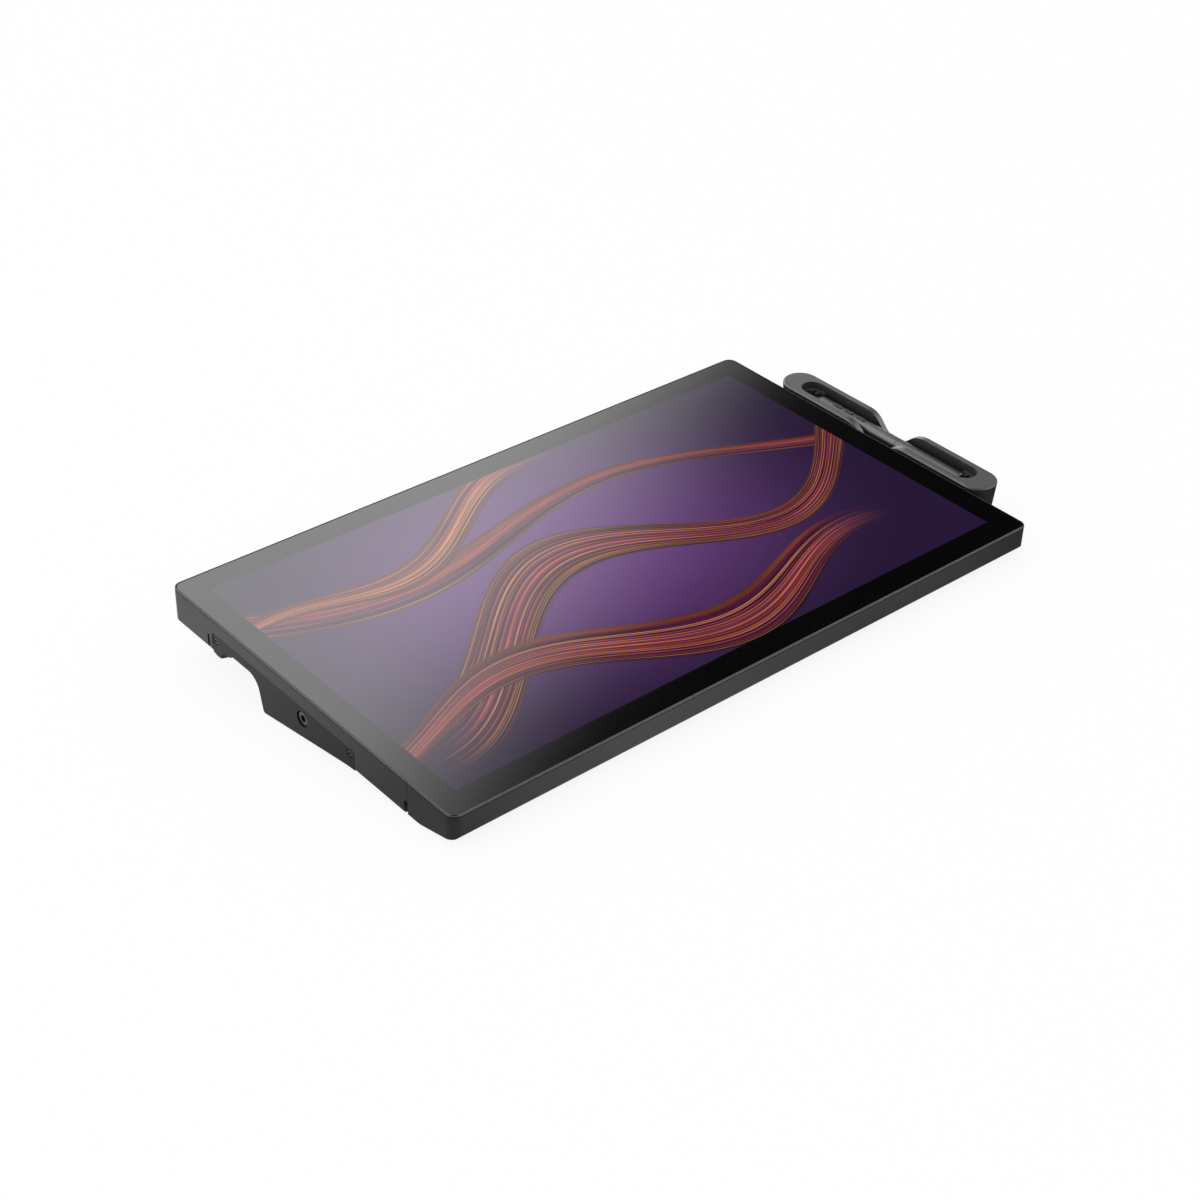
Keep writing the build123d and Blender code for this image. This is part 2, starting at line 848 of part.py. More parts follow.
def air_slits():
    slits = []
    for sign in (-1, 1):
        for step in range(slit_count):
            x = sign * fan_x + (step - (slit_count - 1) / 2) * slit_pitch
            intake = block(around(slit_wide / 2), around(intake_long / 2), (-hump_deep, -slab_tall))
            slits.append(Pos(x, intake_y, 0) * intake)
            exhaust = block(
                around(slit_wide / 2), (hump_back - cover_wall * 2, hump_wall(-slab_tall) + over),
                around(exhaust_high / 2))
            slits.append(Pos(x, 0, -(hump_deep + slab_tall) / 2) * exhaust)
    return slits


def key_ys():
    return [key_first + key_pitch * step for step in range(key_count)]


# The outside of the port bay, widened by a gap where it is what the rear cover leaves open for it
def bay_block(gap, beyond):
    half = bay_half + bay_wall + gap
    y = (bay_face - panel_sheet - gap, hump_wall(-bay_roof) + beyond)
    return block(around(half), y, (-bay_roof - bay_tall - bay_wall - gap, -bay_roof + bay_wall + gap))


def stand_places():
    middle = hump_back - hump_long / 2
    reach = stand_pitch * cos(radians(hump_slope)) / 2
    return [(x, middle + y) for x in (-stand_pitch / 2, stand_pitch / 2) for y in (-reach, reach)]


# A rod square to the hump's floor, from a depth under it to a height above it
def hump_rod(x, y, radius, low, high):
    rod = Cylinder(radius, high - low, align=(Align.CENTER, Align.CENTER, Align.MIN))
    return Pos(x, y, hump_floor(y)) * Rot(-hump_slope, 0, 0) * Pos(0, 0, low) * rod


def side_cover(sign):
    under = across(ramp_outline(over, cover_front, cover_back), (side_in, case_half))
    window = outline([
        (side_front + cover_seam, -hump_deep - over, 0),
        (side_front + cover_seam, -side_top - cover_seam, side_round - cover_seam),
        (side_back - cover_seam, -side_top - cover_seam, side_round - cover_seam),
        (side_back - cover_seam, -hump_deep - over, 0),
    ])
    sheet = under & across(window, (side_in, case_half))
    sheet = chamfer(sheet.faces().sort_by(Axis.X)[-1].edges(), side_edge_round)
    sheet = sheet - Pos(case_half + scoop_r / 2, scoop_y, scoop_z) * Sphere(scoop_r)
    sheet = sheet - rod_x(insert_y, insert_z, insert_counterbore_r, (side_in - over, case_half + over))
    for y in (side_screw_y_back, side_screw_y_front):
        seat = case_half - side_screw_sink - side_screw_head_tall
        through = (side_in - over, case_half + over)
        sheet = sheet - rod_x(y, side_screw_z, side_screw_r + screw_clear, through)
        sheet = sheet - rod_x(y, side_screw_z, side_screw_head + side_ring_wide, (seat, case_half + over))
    return sheet if sign > 0 else mirror(sheet, about=Plane.YZ)


# A hexagon socket, cut into a head whose outer face is at the far end of the span
def hex_cut_x(y, z, across_flats, x):
    prism = extrude(RegularPolygon(across_flats / 2, 6, major_radius=False), x[1] - x[0])
    return Pos(x[0], y, z) * Rot(0, 90, 0) * prism


def side_cover_screws():
    screws = []
    face = case_half - side_screw_sink
    for y in (side_screw_y_back, side_screw_y_front):
        seat = face - side_screw_head_tall
        head = rod_x(y, side_screw_z, side_screw_head, (seat, face))
        shaft = rod_x(y, side_screw_z, side_screw_r, (cover_half - side_screw_long + wall, seat))
        depth = side_screw_head_tall * hex_deep_share
        across_flats = side_screw_head * 2 * hex_across_share
        socket = hex_cut_x(y, side_screw_z, across_flats, (face - depth, face + over))
        screws.append(head + shaft - socket)
    return left_and_right(Part() + screws)


# Threaded inserts: one in each end of the hump, and four under it on the stand's square
def mount_inserts():
    flange = rod_x(insert_y, insert_z, insert_flange_r, (cover_half, cover_half + insert_flange_tall))
    body = rod_x(insert_y, insert_z, insert_body_r, (cover_half - insert_long, cover_half))
    hole = rod_x(insert_y, insert_z, insert_hole_r, (cover_half - insert_long - over, case_half))
    left = mirror(flange + body - hole, about=Plane.YZ)
    wide = rod_x(
        insert_y, insert_z, tray_screw_r + thread_clear, (cover_half - insert_long - over, case_half))
    tubes = [
        hump_rod(x, y, stand_insert_r, 0, stand_insert_long)
        - hump_rod(x, y, stand_hole_r, -over, stand_insert_long + over)
        for x, y in stand_places()]
    return Part() + [left, flange + body - wide] + tubes


def rubber_feet():
    solid_cover = across(middle_outline(0, cover_front, cover_back), around(grip_in))
    feet = []
    for x in (-foot_x, foot_x):
        for y in (front_foot_y, hump_foot_y):
            z = front_foot_z - (y - front_foot_y) * tan(radians(rest_tilt))
            peg = Cylinder(foot_r, foot_reach, align=(Align.CENTER, Align.CENTER, Align.MIN))
            peg = Pos(x, y, z) * Rot(-rest_tilt, 0, 0) * peg
            foot = peg - solid_cover
            feet.append(foot)
    return Part() + feet


# The port bay: a box let into the hump's back, open to the back, with the sockets' holes in its front
def port_bay():
    limit = across(middle_outline(-cover_rise, cover_front, cover_back), around(bay_half + bay_wall))
    box = bay_block(0, over) & limit
    inside = block(
        around(bay_half), (bay_face, hump_wall(-bay_roof) + over * 2), (-bay_roof - bay_tall, -bay_roof))
    through = (bay_face - panel_sheet - over, bay_face + over)
    cuts = [
        block(
            (x - wide / 2 - port_clear, x + wide / 2 + port_clear), through,
            (board_low - high - port_clear, board_low + port_clear))
        for x, wide, high in port_places()]
    return box - inside - (Part() + cuts)


# The width and height of each socket, under the main board, clear of the four stand bosses
def port_places():
    near, far = [beyond_stands + share * (bay_half - beyond_stands) for share in side_port_shares]
    middle = middle_port_share * between_stands
    xs = (-far, -near, -middle, middle, near, far)
    wides = (dc_wide, usb_wide, hdmi_wide, dp_wide, usb_wide, usb_wide)
    highs = (dc_high, usb_high, hdmi_high, dp_high, usb_high, usb_high)
    return list(zip(xs, wides, highs))


# A socket: a metal shell that opens to the back, with a tongue in it and legs up to the board
def socket(x, wide, high, low):
    y = (bay_face - port_deep, bay_face - port_clear)
    shell = block((x - wide / 2, x + wide / 2), y, (low, low + high))
    inside = block(
        (x - wide / 2 + port_shell, x + wide / 2 - port_shell), (y[0] + port_shell, y[1] + over),
        (low + port_shell, low + high - port_shell))
    tongue_half = high * port_tongue_share / 2
    tongue = block(
        (x - wide * port_tongue_share, x + wide * port_tongue_share), (y[0], y[1] - port_shell * 2),
        (low + high / 2 - tongue_half, low + high / 2 + tongue_half))
    return shell - inside + tongue


# The round inlet for power: a block with a barrel bore and a pin in its middle
def barrel_inlet(x, wide, high, low):
    y = (bay_face - port_deep, bay_face - port_clear)
    middle = low + high / 2
    shell = block((x - wide / 2, x + wide / 2), y, (low, low + high))
    barrel = rod_y(x, middle, dc_barrel_r, (y[0] + port_shell, y[1] + over))
    pin = rod_y(x, middle, dc_pin_r, (y[0], y[1] - port_shell * 2))
    return shell - barrel + pin


def main_board():
    board = block(around(board_half), (board_front, board_back), (board_low, board_z))
    chip = block(around(chip_wide / 2), around(chip_wide / 2), (board_z, board_z + chip_tall))
    chip = Pos(0, spreader_y, 0) * chip
    parts = [
        block(
            (share * board_half - part_wide / 2, share * board_half + part_wide / 2),
            (board_front + part_wide, board_front + part_wide * 2), (board_z, board_z + part_tall))
        for share in board_part_shares]
    return board + chip + parts


def heat_spreader():
    low = board_z + chip_tall
    reach = fan_x + duct_wide / 2
    bar = block(around(reach), around(plate_deep / 2), (low, low + plate_tall))
    shapes = [Pos(0, spreader_y, 0) * bar]
    fan_back = fan_y + fan_wide / 2
    arm_y = (spreader_y - plate_deep / 2, fan_back + fin_gap_to_fan + fin_deep)
    for sign in (-1, 1):
        x = sorted((sign * (fan_x - duct_wide / 2), sign * (fan_x + duct_wide / 2)))
        shapes.append(block(x, arm_y, (low, low + plate_tall)))
        for step in range(fin_count):
            fin_x = x[0] + (duct_wide - fin_thick) * step / (fin_count - 1)
            fin_y = (fan_back + fin_gap_to_fan, fan_back + fin_gap_to_fan + fin_deep)
            shapes.append(block((fin_x, fin_x + fin_thick), fin_y, (low, inside_z)))
    return Part() + shapes


def fan_housing(sign):
    case = block(around(fan_wide / 2), around(fan_wide / 2), (inside_z - fan_tall, inside_z))
    well = rod_z(0, 0, fan_well_r, (inside_z - fan_tall + fan_wall, inside_z - fan_wall))
    duct = block(
        around(duct_wide / 2), (0, fan_wide / 2 + over),
        (inside_z - fan_tall + fan_wall, inside_z - fan_wall))
    eye = rod_z(0, 0, fan_eye_r, (inside_z - fan_tall - over, inside_z - fan_tall + fan_wall + over))
    pin = rod_z(0, 0, fan_pin_r, (inside_z - fan_tall + fan_wall, inside_z - fan_wall))
    return Pos(sign * fan_x, fan_y, 0) * (case - well - duct - eye + pin)


def fan_rotor(sign):
    middle = inside_z - fan_tall / 2
    z = (middle - rotor_tall / 2, middle + rotor_tall / 2)
    hub = rod_z(0, 0, rotor_hub_r, z)
    blade = block((rotor_hub_r - blade_thick, rotor_r), around(blade_thick / 2), z)
    blades = [Rot(0, 0, 360 * step / blade_count) * blade for step in range(blade_count)]
    wheel = (hub + blades) - rod_z(0, 0, fan_pin_r + fan_pin_clear, (z[0] - over, z[1] + over))
    return Pos(sign * fan_x, fan_y, 0) * wheel


def small_board(x, wide, deep):
    top = inside_z - small_board_drop
    low = top - small_board_tall
    board = block(around(wide / 2), around(deep / 2), (low, top))
    part = block(around(part_wide / 2), around(part_wide / 2), (low - part_tall, low))
    parts = [Pos(share * wide, 0, 0) * part for share in small_part_shares]
    return Pos(x, small_board_y, 0) * (board + parts)


# The pen controller, the driver of the light bar and a board behind the keys at each side
def control_boards():
    pen_controller = small_board(pen_control_x, pen_control_wide, pen_control_deep)
    led_driver = small_board(led_driver_x, led_driver_wide, led_driver_deep)
    return pen_controller + led_driver + key_boards()


def key_centres():
    return [(sign * (case_half - key_x), y) for sign in (-1, 1) for y in key_ys()]


def rear_key(x, y):
    cap = plate(
        around(key_wide / 2), around(key_long / 2), (-grip_roof - key_proud, key_roof_z), key_round)
    cap = fillet(cap.faces().sort_by(Axis.Z)[0].edges(), key_proud / 2)
    flange = block(
        around(key_wide / 2 + key_flange), around(key_long / 2 + key_flange),
        (key_roof_z, key_roof_z + key_flange_tall))
    return Pos(x, y, 0) * (cap + flange)


def key_switches():
    low = key_roof_z + key_flange_tall + key_travel + switch_gap
    tact = block(around(switch_wide / 2), around(switch_wide / 2), (low, low + switch_tall))
    tacts = [Pos(x, y, 0) * tact for x, y in key_centres()]
    power = block(
        around(back_switch_wide / 2), (bracket_y, bracket_y + control_block_tall), around(power_high / 2))
    tacts.append(Pos(power_x, 0, control_z) * power)
    inner = case_back - wall - flange_tall - switch_gap
    touch = block(around(back_switch_wide), (bracket_y, inner), around(touch_high / 2 + flange_margin))
    tacts.append(Pos(touch_x + touch_travel / 2, 0, control_z) * touch)
    return Part() + tacts


def key_boards():
    low = key_first - key_long / 2 - key_board_margin / 2
    high = key_first + key_pitch * (key_count - 1) + key_long / 2 + key_board_margin / 2
    board = block(
        (case_half - key_x - key_wide / 2, case_half - key_x + key_wide / 2), (low, high),
        (key_board_z, key_board_z + key_board_tall))
    return left_and_right(board)


def power_button():
    inner = case_back - wall
    cap = block(around(power_wide / 2), (inner, case_back + power_proud), around(power_high / 2))
    cap = fillet(cap.edges().filter_by(Axis.Y), power_high / 2 - key_gap)
    flange = block(
        around(power_wide / 2 + flange_margin), (inner - flange_tall, inner),
        around(power_high / 2 + flange_margin))
    return Pos(power_x, 0, control_z) * (cap + flange)


def touch_slider():
    inner = case_back - wall
    knob = block(around(touch_wide / 2), (inner, case_back + touch_proud), around(touch_high / 2))
    knob = chamfer(knob.faces().sort_by(Axis.Y)[-1].edges(), touch_proud / 2)
    base = block(
        around(touch_wide), (inner - flange_tall, inner), around(touch_high / 2 + flange_margin))
    return Pos(touch_x, 0, control_z) * (knob + base)


def frame_screws():
    screws = []
    for x, y in frame_screw_places():
        head = rod_z(x, y, frame_screw_head_r, (inside_z - frame_screw_head_tall, inside_z))
        shaft = rod_z(x, y, frame_screw_r, (inside_z, inside_z + frame_screw_long))
        screws.append(head + shaft)
    return Part() + screws


def cover_screws():
    screws = []
    for x, y in cover_screw_places():
        seat = -slab_tall + cover_screw_sink
        head = rod_z(x, y, cover_screw_head_r, (seat - cover_screw_head_tall, seat))
        shaft = rod_z(x, y, cover_screw_r, (seat, seat + cover_screw_long))
        hexagon = RegularPolygon(cover_screw_head_r * hex_across_share, 6, major_radius=False)
        socket = extrude(hexagon, cover_screw_head_tall * hex_deep_share)
        screws.append(head + shaft - Pos(x, y, seat - cover_screw_head_tall) * socket)
    return Part() + screws


# The cross scoop of the tray: a low middle between two S-shaped flanks
def scoop_cut():
    high = tray_rise + tray_edge_round
    face = outline([
        (tray_y - scoop_reach, high, 0),
        (tray_y - scoop_reach, tray_rise, 0),
        (tray_y - scoop_top_half, tray_rise, scoop_crest_round),
        (tray_y - scoop_low_half, -scoop_deep, scoop_low_round),
        (tray_y + scoop_low_half, -scoop_deep, scoop_low_round),
        (tray_y + scoop_top_half, tray_rise, scoop_crest_round),
        (tray_y + scoop_reach, tray_rise, 0),
        (tray_y + scoop_reach, high, 0),
    ])
    return across(face, (tray_in - over, tray_out + over))


def tray_body():
    low_wide = tray_wide - tray_shrink * 2
    low_long = tray_long - tray_shrink * 2
    low_face = Pos(tray_x, tray_y, -tray_tall) * RectangleRounded(low_wide, low_long, low_wide / 2 - seam_gap)
    body = extrude(low_face, tray_full, taper=-tray_draft)
    body = body - scoop_cut()
    high = tray_rise + over
    upward = body.faces().filter_by(lambda face: face.normal_at().Z > upward_share)
    body = fillet(upward.edges().filter_by(lambda edge: on_tray_rim(edge)), tray_edge_round)
    body = body - plate(
        (tray_x - pocket_wide / 2, tray_x + pocket_wide / 2),
        (pocket_y - pocket_long / 2, pocket_y + pocket_long / 2), (-pocket_deep, high),
        pocket_wide / 2 - seam_gap)
    solid_middle = block(
        around(pocket_wide / 2 + over), (insert_y - tray_block_half, insert_y + tray_block_half),
        (-tray_tall, insert_low))
    body = body + Pos(tray_x, 0, 0) * solid_middle
    body = body + rod_x(insert_y, insert_z, tray_boss_r, (tray_in, tray_in + tray_boss_deep)) \
        - block((tray_in - over, tray_out), around(tray_long), (-tray_tall - tray_boss_r, -tray_tall))
    body = body - rod_x(insert_y, insert_z, tray_screw_r + screw_clear, (tray_in - over, tray_out + over))
    sink = (tray_out - tray_shrink - tray_screw_seat, tray_out + over)
    body = body - rod_x(insert_y, insert_z, tray_screw_head_r + fit_gap, sink)
    groove_half = spare_nib_long / 2 + nib_gap
    groove = (tray_x - groove_half, tray_x + groove_half)
    grooves = [rod_x(y, -pocket_deep, nib_r + nib_gap, groove) for y in nib_store_ys()]
    return body - (Part() + grooves)


# The edges between the top or the scoop and the sides, not those that run across the tray
def on_tray_rim(edge):
    ends = abs(edge.position_at(0).X - edge.position_at(1).X)
    return edge.length > over and not (ends > tray_wide / 2 and edge.geom_type == GeomType.LINE)


def nib_store_ys():
    pitch = (nib_store_back - nib_store_front) / (nib_store_count - 1)
    return [nib_store_front + pitch * step for step in range(nib_store_count)]


def spare_nibs():
    span = (tray_x - spare_nib_long / 2, tray_x + spare_nib_long / 2)
    return Part() + [rod_x(y, -pocket_deep, nib_r, span) for y in nib_store_ys()]


# The insert: a floor for the pen, a ledge with a plus-shaped notch at each end, and two low cradles
def tray_insert():
    half = pocket_wide / 2 - insert_play
    y = (pocket_y - pocket_long / 2 + insert_play, pocket_y + pocket_long / 2 - insert_play)
    x = (tray_x - half, tray_x + half)
    wide = (x[0] - over, x[1] + over)
    between_ledges = (y[0] + ledge_long, y[1] - ledge_long)
    whole = plate(x, y, (-pocket_deep, -ledge_deep), half - seam_gap)
    ledges = whole - block(wide, between_ledges, (-pocket_deep - over, over))
    base = whole & block(x, y, (insert_low, insert_low + insert_sheet))
    skirts = whole & block(x, y, (-pocket_deep, insert_low))
    skirts = skirts - block(
        (x[0] + skirt_sheet, x[1] - skirt_sheet), between_ledges, (-pocket_deep - over, insert_low))
    block_room = tray_block_half + fit_gap
    skirts = skirts - block(
        wide, (insert_y - block_room, insert_y + block_room), (-pocket_deep - over, insert_low))
    body = ledges + base + skirts
    for cradle in (-cradle_y, cradle_y):
        saddle = (cradle - cradle_long / 2, cradle + cradle_long / 2)
        body = body + block(x, saddle, (insert_low, -cradle_top))
    # the pen's own room, open upwards so that it lifts straight out
    room = pen_r + pen_rest_gap
    room_y = (pen_tail - pen_rest_gap * 2, y[1] - ledge_long + over)
    body = body - rod_y(tray_x, pen_z, room, room_y)
    body = body - block((tray_x - room, tray_x + room), room_y, (pen_z, over))
    deep = pen_z - pen_r - pen_rest_gap
    for end, sign, back in ((y[0], 1, notch_front), (y[1], -1, notch_back)):
        cross = end + sign * back
        along = sorted((cross - sign * notch_beyond, end + sign * (ledge_long + over)))
        body = body - block((tray_x - notch_channel / 2, tray_x + notch_channel / 2), along, (deep, over))
        arm = block(around(notch_arm), around(notch_wide / 2), (deep, over))
        body = body - Pos(tray_x, cross, 0) * arm
    nose = block(
        (tray_x - pen_slot_wide / 2, tray_x + pen_slot_wide / 2),
        (y[1] - ledge_long - over, pen_nose_end - over), (deep, over))
    return body - nose


def tray_spacer():
    neck = rod_x(insert_y, insert_z, spacer_neck_r, (cover_half + insert_flange_tall, case_half))
    disc = rod_x(insert_y, insert_z, spacer_r, (case_half, tray_in))
    low_cut = block((case_half, tray_in), (insert_y - spacer_r, insert_y + spacer_r), (-tray_tall, 0))
    hole = rod_x(insert_y, insert_z, tray_screw_r + screw_clear, (side_in - over, tray_out))
    return neck + (disc & low_cut) - hole


def tray_screw():
    seat = tray_out - tray_shrink - tray_screw_seat
    head = rod_x(insert_y, insert_z, tray_screw_head_r, (seat, seat + tray_screw_head_tall))
    shaft = rod_x(insert_y, insert_z, tray_screw_r, (cover_half - insert_long + over, seat))
    depth = tray_screw_head_tall * hex_deep_share
    socket = hex_cut_x(
        insert_y, insert_z, tray_screw_head_r * 2 * hex_across_share,
        (seat + tray_screw_head_tall - depth, seat + tray_screw_head_tall + over))
    return head + shaft - socket


# The pen lies along y with its nib to the back
def pen_inside():
    return rod_y(tray_x, pen_z, pen_r - pen_shell, (pen_tail + pen_shell * 2, pen_shoulder - pen_shell))


def pen_front_barrel():
    body = rod_y(tray_x, pen_z, pen_r, (pen_joint, pen_shoulder))
    body = body - pen_inside()
    body = body - rod_y(tray_x, pen_z, pen_nose_r * 2, (pen_joint, pen_shoulder + over))
    groove = rod_y(tray_x, pen_z, pen_r + over, (pen_joint, pen_joint + joint_groove_wide)) \
        - rod_y(tray_x, pen_z, pen_r - joint_groove, (pen_joint, pen_joint + joint_groove_wide))
    body = body - groove - switch_seam()
    for y in pen_key_ys():
        body = body - pen_key_hole(y)
    return body


# The fine seam round the switch plate, cut into the top of the barrel
def switch_seam():
    x = (tray_x - plate_seam_wide / 2, tray_x + plate_seam_wide / 2)
    y = (plate_seam_back, plate_seam_front)
    z = (pen_z + pen_r * seam_floor_share, pen_z + pen_r + over)
    outside = plate(x, y, z, plate_seam_wide / 2 - plate_seam / 2)
    inside = plate(
        (x[0] + plate_seam, x[1] - plate_seam), (y[0] + plate_seam, y[1] - plate_seam), z,
        plate_seam_wide / 2 - plate_seam * 3 / 2)
    shell = rod_y(tray_x, pen_z, pen_r + over, y) - rod_y(tray_x, pen_z, pen_r - plate_seam_deep, y)
    return (outside - inside) & shell


def pen_key_ys():
    return [plate_seam_back + share * (plate_seam_front - plate_seam_back) for share in pen_key_ys_share]


def pen_key_hole(y):
    return Pos(tray_x, y, 0) * plate(
        around(pen_key_wide / 2 + pen_key_gap), around(pen_key_long / 2 + pen_key_gap),
        (pen_z + core_tall, pen_z + pen_r + over), pen_key_wide / 2 - seam_gap)


def pen_key(y):
    top = pen_z + pen_r + pen_key_proud
    low = pen_z + core_tall / 2 + pen_key_travel + switch_gap
    key = plate(around(pen_key_wide / 2), around(pen_key_long / 2), (low, top), pen_key_wide / 2 - seam_gap)
    key = fillet(key.faces().sort_by(Axis.Z)[-1].edges(), pen_key_round)
    return Pos(tray_x, y, 0) * key


def pen_rear_barrel():
    body = rod_y(tray_x, pen_z, pen_r, (pen_tail, pen_joint))
    body = fillet(body.faces().sort_by(Axis.Y)[0].edges(), pen_tail_round)
    return body - pen_inside()


def pen_cone():
    long = pen_nose_end - pen_shoulder
    cone = Rot(-90, 0, 0) * Cone(pen_r, pen_nose_r, long, align=(Align.CENTER, Align.CENTER, Align.MIN))
    bore = rod_y(tray_x, pen_z, nib_r + nib_gap, (pen_shoulder - over, pen_tip))
    return Pos(tray_x, pen_shoulder, pen_z) * cone - bore


def pen_nib():
    nib = rod_y(tray_x, pen_z, nib_r, (pen_tip - nib_inside, pen_tip))
    return fillet(nib.faces().sort_by(Axis.Y)[-1].edges(), nib_r / 2)


def pen_core():
    board = block(around(core_wide / 2), (core_back, core_front), around(core_tall / 2))
    board = Pos(tray_x, 0, pen_z) * board
    coil = rod_y(tray_x, pen_z, coil_r, (core_front - coil_long, core_front))
    nib_room = (pen_tip - nib_inside - nib_travel - nib_gap, core_front + over)
    bore = rod_y(tray_x, pen_z, nib_r + nib_gap, nib_room)
    return board + coil - bore


def build():
    nodes = {
        "cover_glass": cover_glass(),
        "border_mask": border_mask(),
        "glass_tape": glass_tape(),
        "touch_sensor": layer(sensor_margin, sensor_z, sensor_tall),
        "lcd_panel": layer(panel_margin, panel_z, panel_tall),
        "backlight_films": layer(panel_margin, films_z, films_tall),
        "light_guide": light_guide(),
        "led_bar": led_bar(),
        "backlight_tray": backlight_tray(),
        "pen_sensor_board": pen_sensor_board(),
        "shield_plate": layer(sensor_margin, shield_z, shield_tall),
        "mid_frame": mid_frame(),
        "frame_posts": frame_posts(),
        "main_housing": main_housing(),
        "front_trim": front_trim(),
        "rear_cover": rear_cover(),
        "left_grip_cover": grip_cover(-1),
        "right_grip_cover": grip_cover(1),
        "left_side_cover": side_cover(-1),
        "right_side_cover": side_cover(1),
        "side_cover_screws": side_cover_screws(),
        "mount_inserts": mount_inserts(),
        "rubber_feet": rubber_feet(),
        "port_bay": port_bay(),
        "main_board": main_board(),
        "heat_spreader": heat_spreader(),
        "fan_housings": fan_housing(-1) + fan_housing(1),
        "left_fan_rotor": fan_rotor(-1),
        "right_fan_rotor": fan_rotor(1),
        "control_boards": control_boards(),
        "key_switches": key_switches(),
        "power_button": power_button(),
        "touch_slider": touch_slider(),
        "frame_screws": frame_screws(),
        "cover_screws": cover_screws(),
        "tray_body": tray_body(),
        "tray_insert": tray_insert(),
        "tray_spacer": tray_spacer(),
        "tray_screw": tray_screw(),
        "spare_nibs": spare_nibs(),
        "pen_front_barrel": pen_front_barrel(),
        "pen_rear_barrel": pen_rear_barrel(),
        "pen_cone": pen_cone(),
        "pen_nib": pen_nib(),
        "pen_core": pen_core(),
    }
    x, wide, high = port_places()[0]
    nodes["dc_inlet"] = barrel_inlet(x, wide, high, board_low - high)
    sockets = [socket(x, wide, high, board_low - high) for x, wide, high in port_places()[1:]]
    nodes["usb_c_ports"] = Part() + [sockets[0], sockets[3], sockets[4]]
    nodes["hdmi_port"] = sockets[1]
    nodes["display_port"] = sockets[2]
    for side, sign in (("left", -1), ("right", 1)):
        for number, y in enumerate(reversed(key_ys()), start=1):
            nodes[f"{side}_key_{number}"] = rear_key(sign * (case_half - key_x), y)
    for name, y in zip(("front", "middle", "rear"), pen_key_ys()):
        nodes[f"pen_switch_{name}"] = pen_key(y)
    return nodes


# Lean the tablet back to its rest tilt and stand it on z = 0 with the middle of its base at x = y = 0
def stand_up(nodes):
    leaned = {name: Rot(rest_tilt, 0, 0) * shape for name, shape in nodes.items()}
    boxes = [shape.bounding_box() for shape in leaned.values()]
    low = [min(getattr(box.min, side) for box in boxes) for side in "XYZ"]
    high = [max(getattr(box.max, side) for box in boxes) for side in "XYZ"]
    shift = Pos(-(low[0] + high[0]) / 2, -(low[1] + high[1]) / 2, -low[2])
    return {name: shift * shape for name, shape in leaned.items()}, shift


if __name__ == "__main__":
    os.makedirs("parts", exist_ok=True)
    placed, shift = stand_up(build())
    for name, shape in placed.items():
        export_step(shape, f"parts/{name}.step")
    print("nodes", len(placed), "rest tilt", round(rest_tilt, 3), "shift", shift.position)
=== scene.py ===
import json
import math

import bmesh
import bpy
from mathutils import Matrix, Vector


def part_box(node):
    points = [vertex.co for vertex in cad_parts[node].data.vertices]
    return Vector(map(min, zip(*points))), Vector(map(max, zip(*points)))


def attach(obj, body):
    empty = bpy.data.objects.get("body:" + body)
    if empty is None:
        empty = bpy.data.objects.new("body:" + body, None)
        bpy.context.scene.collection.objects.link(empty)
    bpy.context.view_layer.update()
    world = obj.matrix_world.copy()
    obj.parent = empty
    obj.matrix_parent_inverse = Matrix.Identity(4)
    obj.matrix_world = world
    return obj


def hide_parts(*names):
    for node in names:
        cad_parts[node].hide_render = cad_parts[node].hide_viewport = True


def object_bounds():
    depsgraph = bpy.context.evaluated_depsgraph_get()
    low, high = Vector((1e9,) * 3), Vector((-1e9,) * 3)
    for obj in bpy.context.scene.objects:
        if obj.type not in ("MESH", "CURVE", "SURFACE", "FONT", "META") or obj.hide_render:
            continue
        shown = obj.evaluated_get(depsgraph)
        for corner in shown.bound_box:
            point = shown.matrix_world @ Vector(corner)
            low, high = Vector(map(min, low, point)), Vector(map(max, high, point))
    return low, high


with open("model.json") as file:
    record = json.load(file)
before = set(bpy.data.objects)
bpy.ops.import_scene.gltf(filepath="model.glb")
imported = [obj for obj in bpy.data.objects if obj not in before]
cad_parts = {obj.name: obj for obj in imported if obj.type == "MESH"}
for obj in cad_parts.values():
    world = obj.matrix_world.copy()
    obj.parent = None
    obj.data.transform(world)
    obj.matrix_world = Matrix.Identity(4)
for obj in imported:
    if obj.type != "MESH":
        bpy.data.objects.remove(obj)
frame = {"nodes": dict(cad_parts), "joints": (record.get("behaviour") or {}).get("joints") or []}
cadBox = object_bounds()
nodes = frame["nodes"]
print("frame loaded with", len(nodes), "nodes")

# The tablet leans back on its feet, so its own directions come from the frame:
# the pen lifts straight out of the glass plane, and the long edge runs along X.
joints = {joint["name"]: joint for joint in frame["joints"]}
tabletUp = Vector(joints["pen_lift"]["axis"]).normalized()
tabletRight = Vector((1, 0, 0))
tabletBack = tabletUp.cross(tabletRight)
millimetre = 0.001


def glassOrigin():          # the middle of the picture, at the top of the glass
    low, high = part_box("touch_sensor")
    middle = (low + high) / 2
    top = max(vertex.co.dot(tabletUp) for vertex in nodes["cover_glass"].data.vertices)
    return middle + tabletUp * (top - middle.dot(tabletUp))


origin = glassOrigin()
lean = math.atan2(tabletBack.z, tabletBack.y)
tabletFrame = Matrix.Translation(origin) @ Matrix.Rotation(lean, 4, "X")
fromWorld = tabletFrame.inverted()


def tabletPoint(x, y, z):   # millimetres on the tablet to metres in the room
    return tabletFrame @ (Vector((x, y, z)) * millimetre)


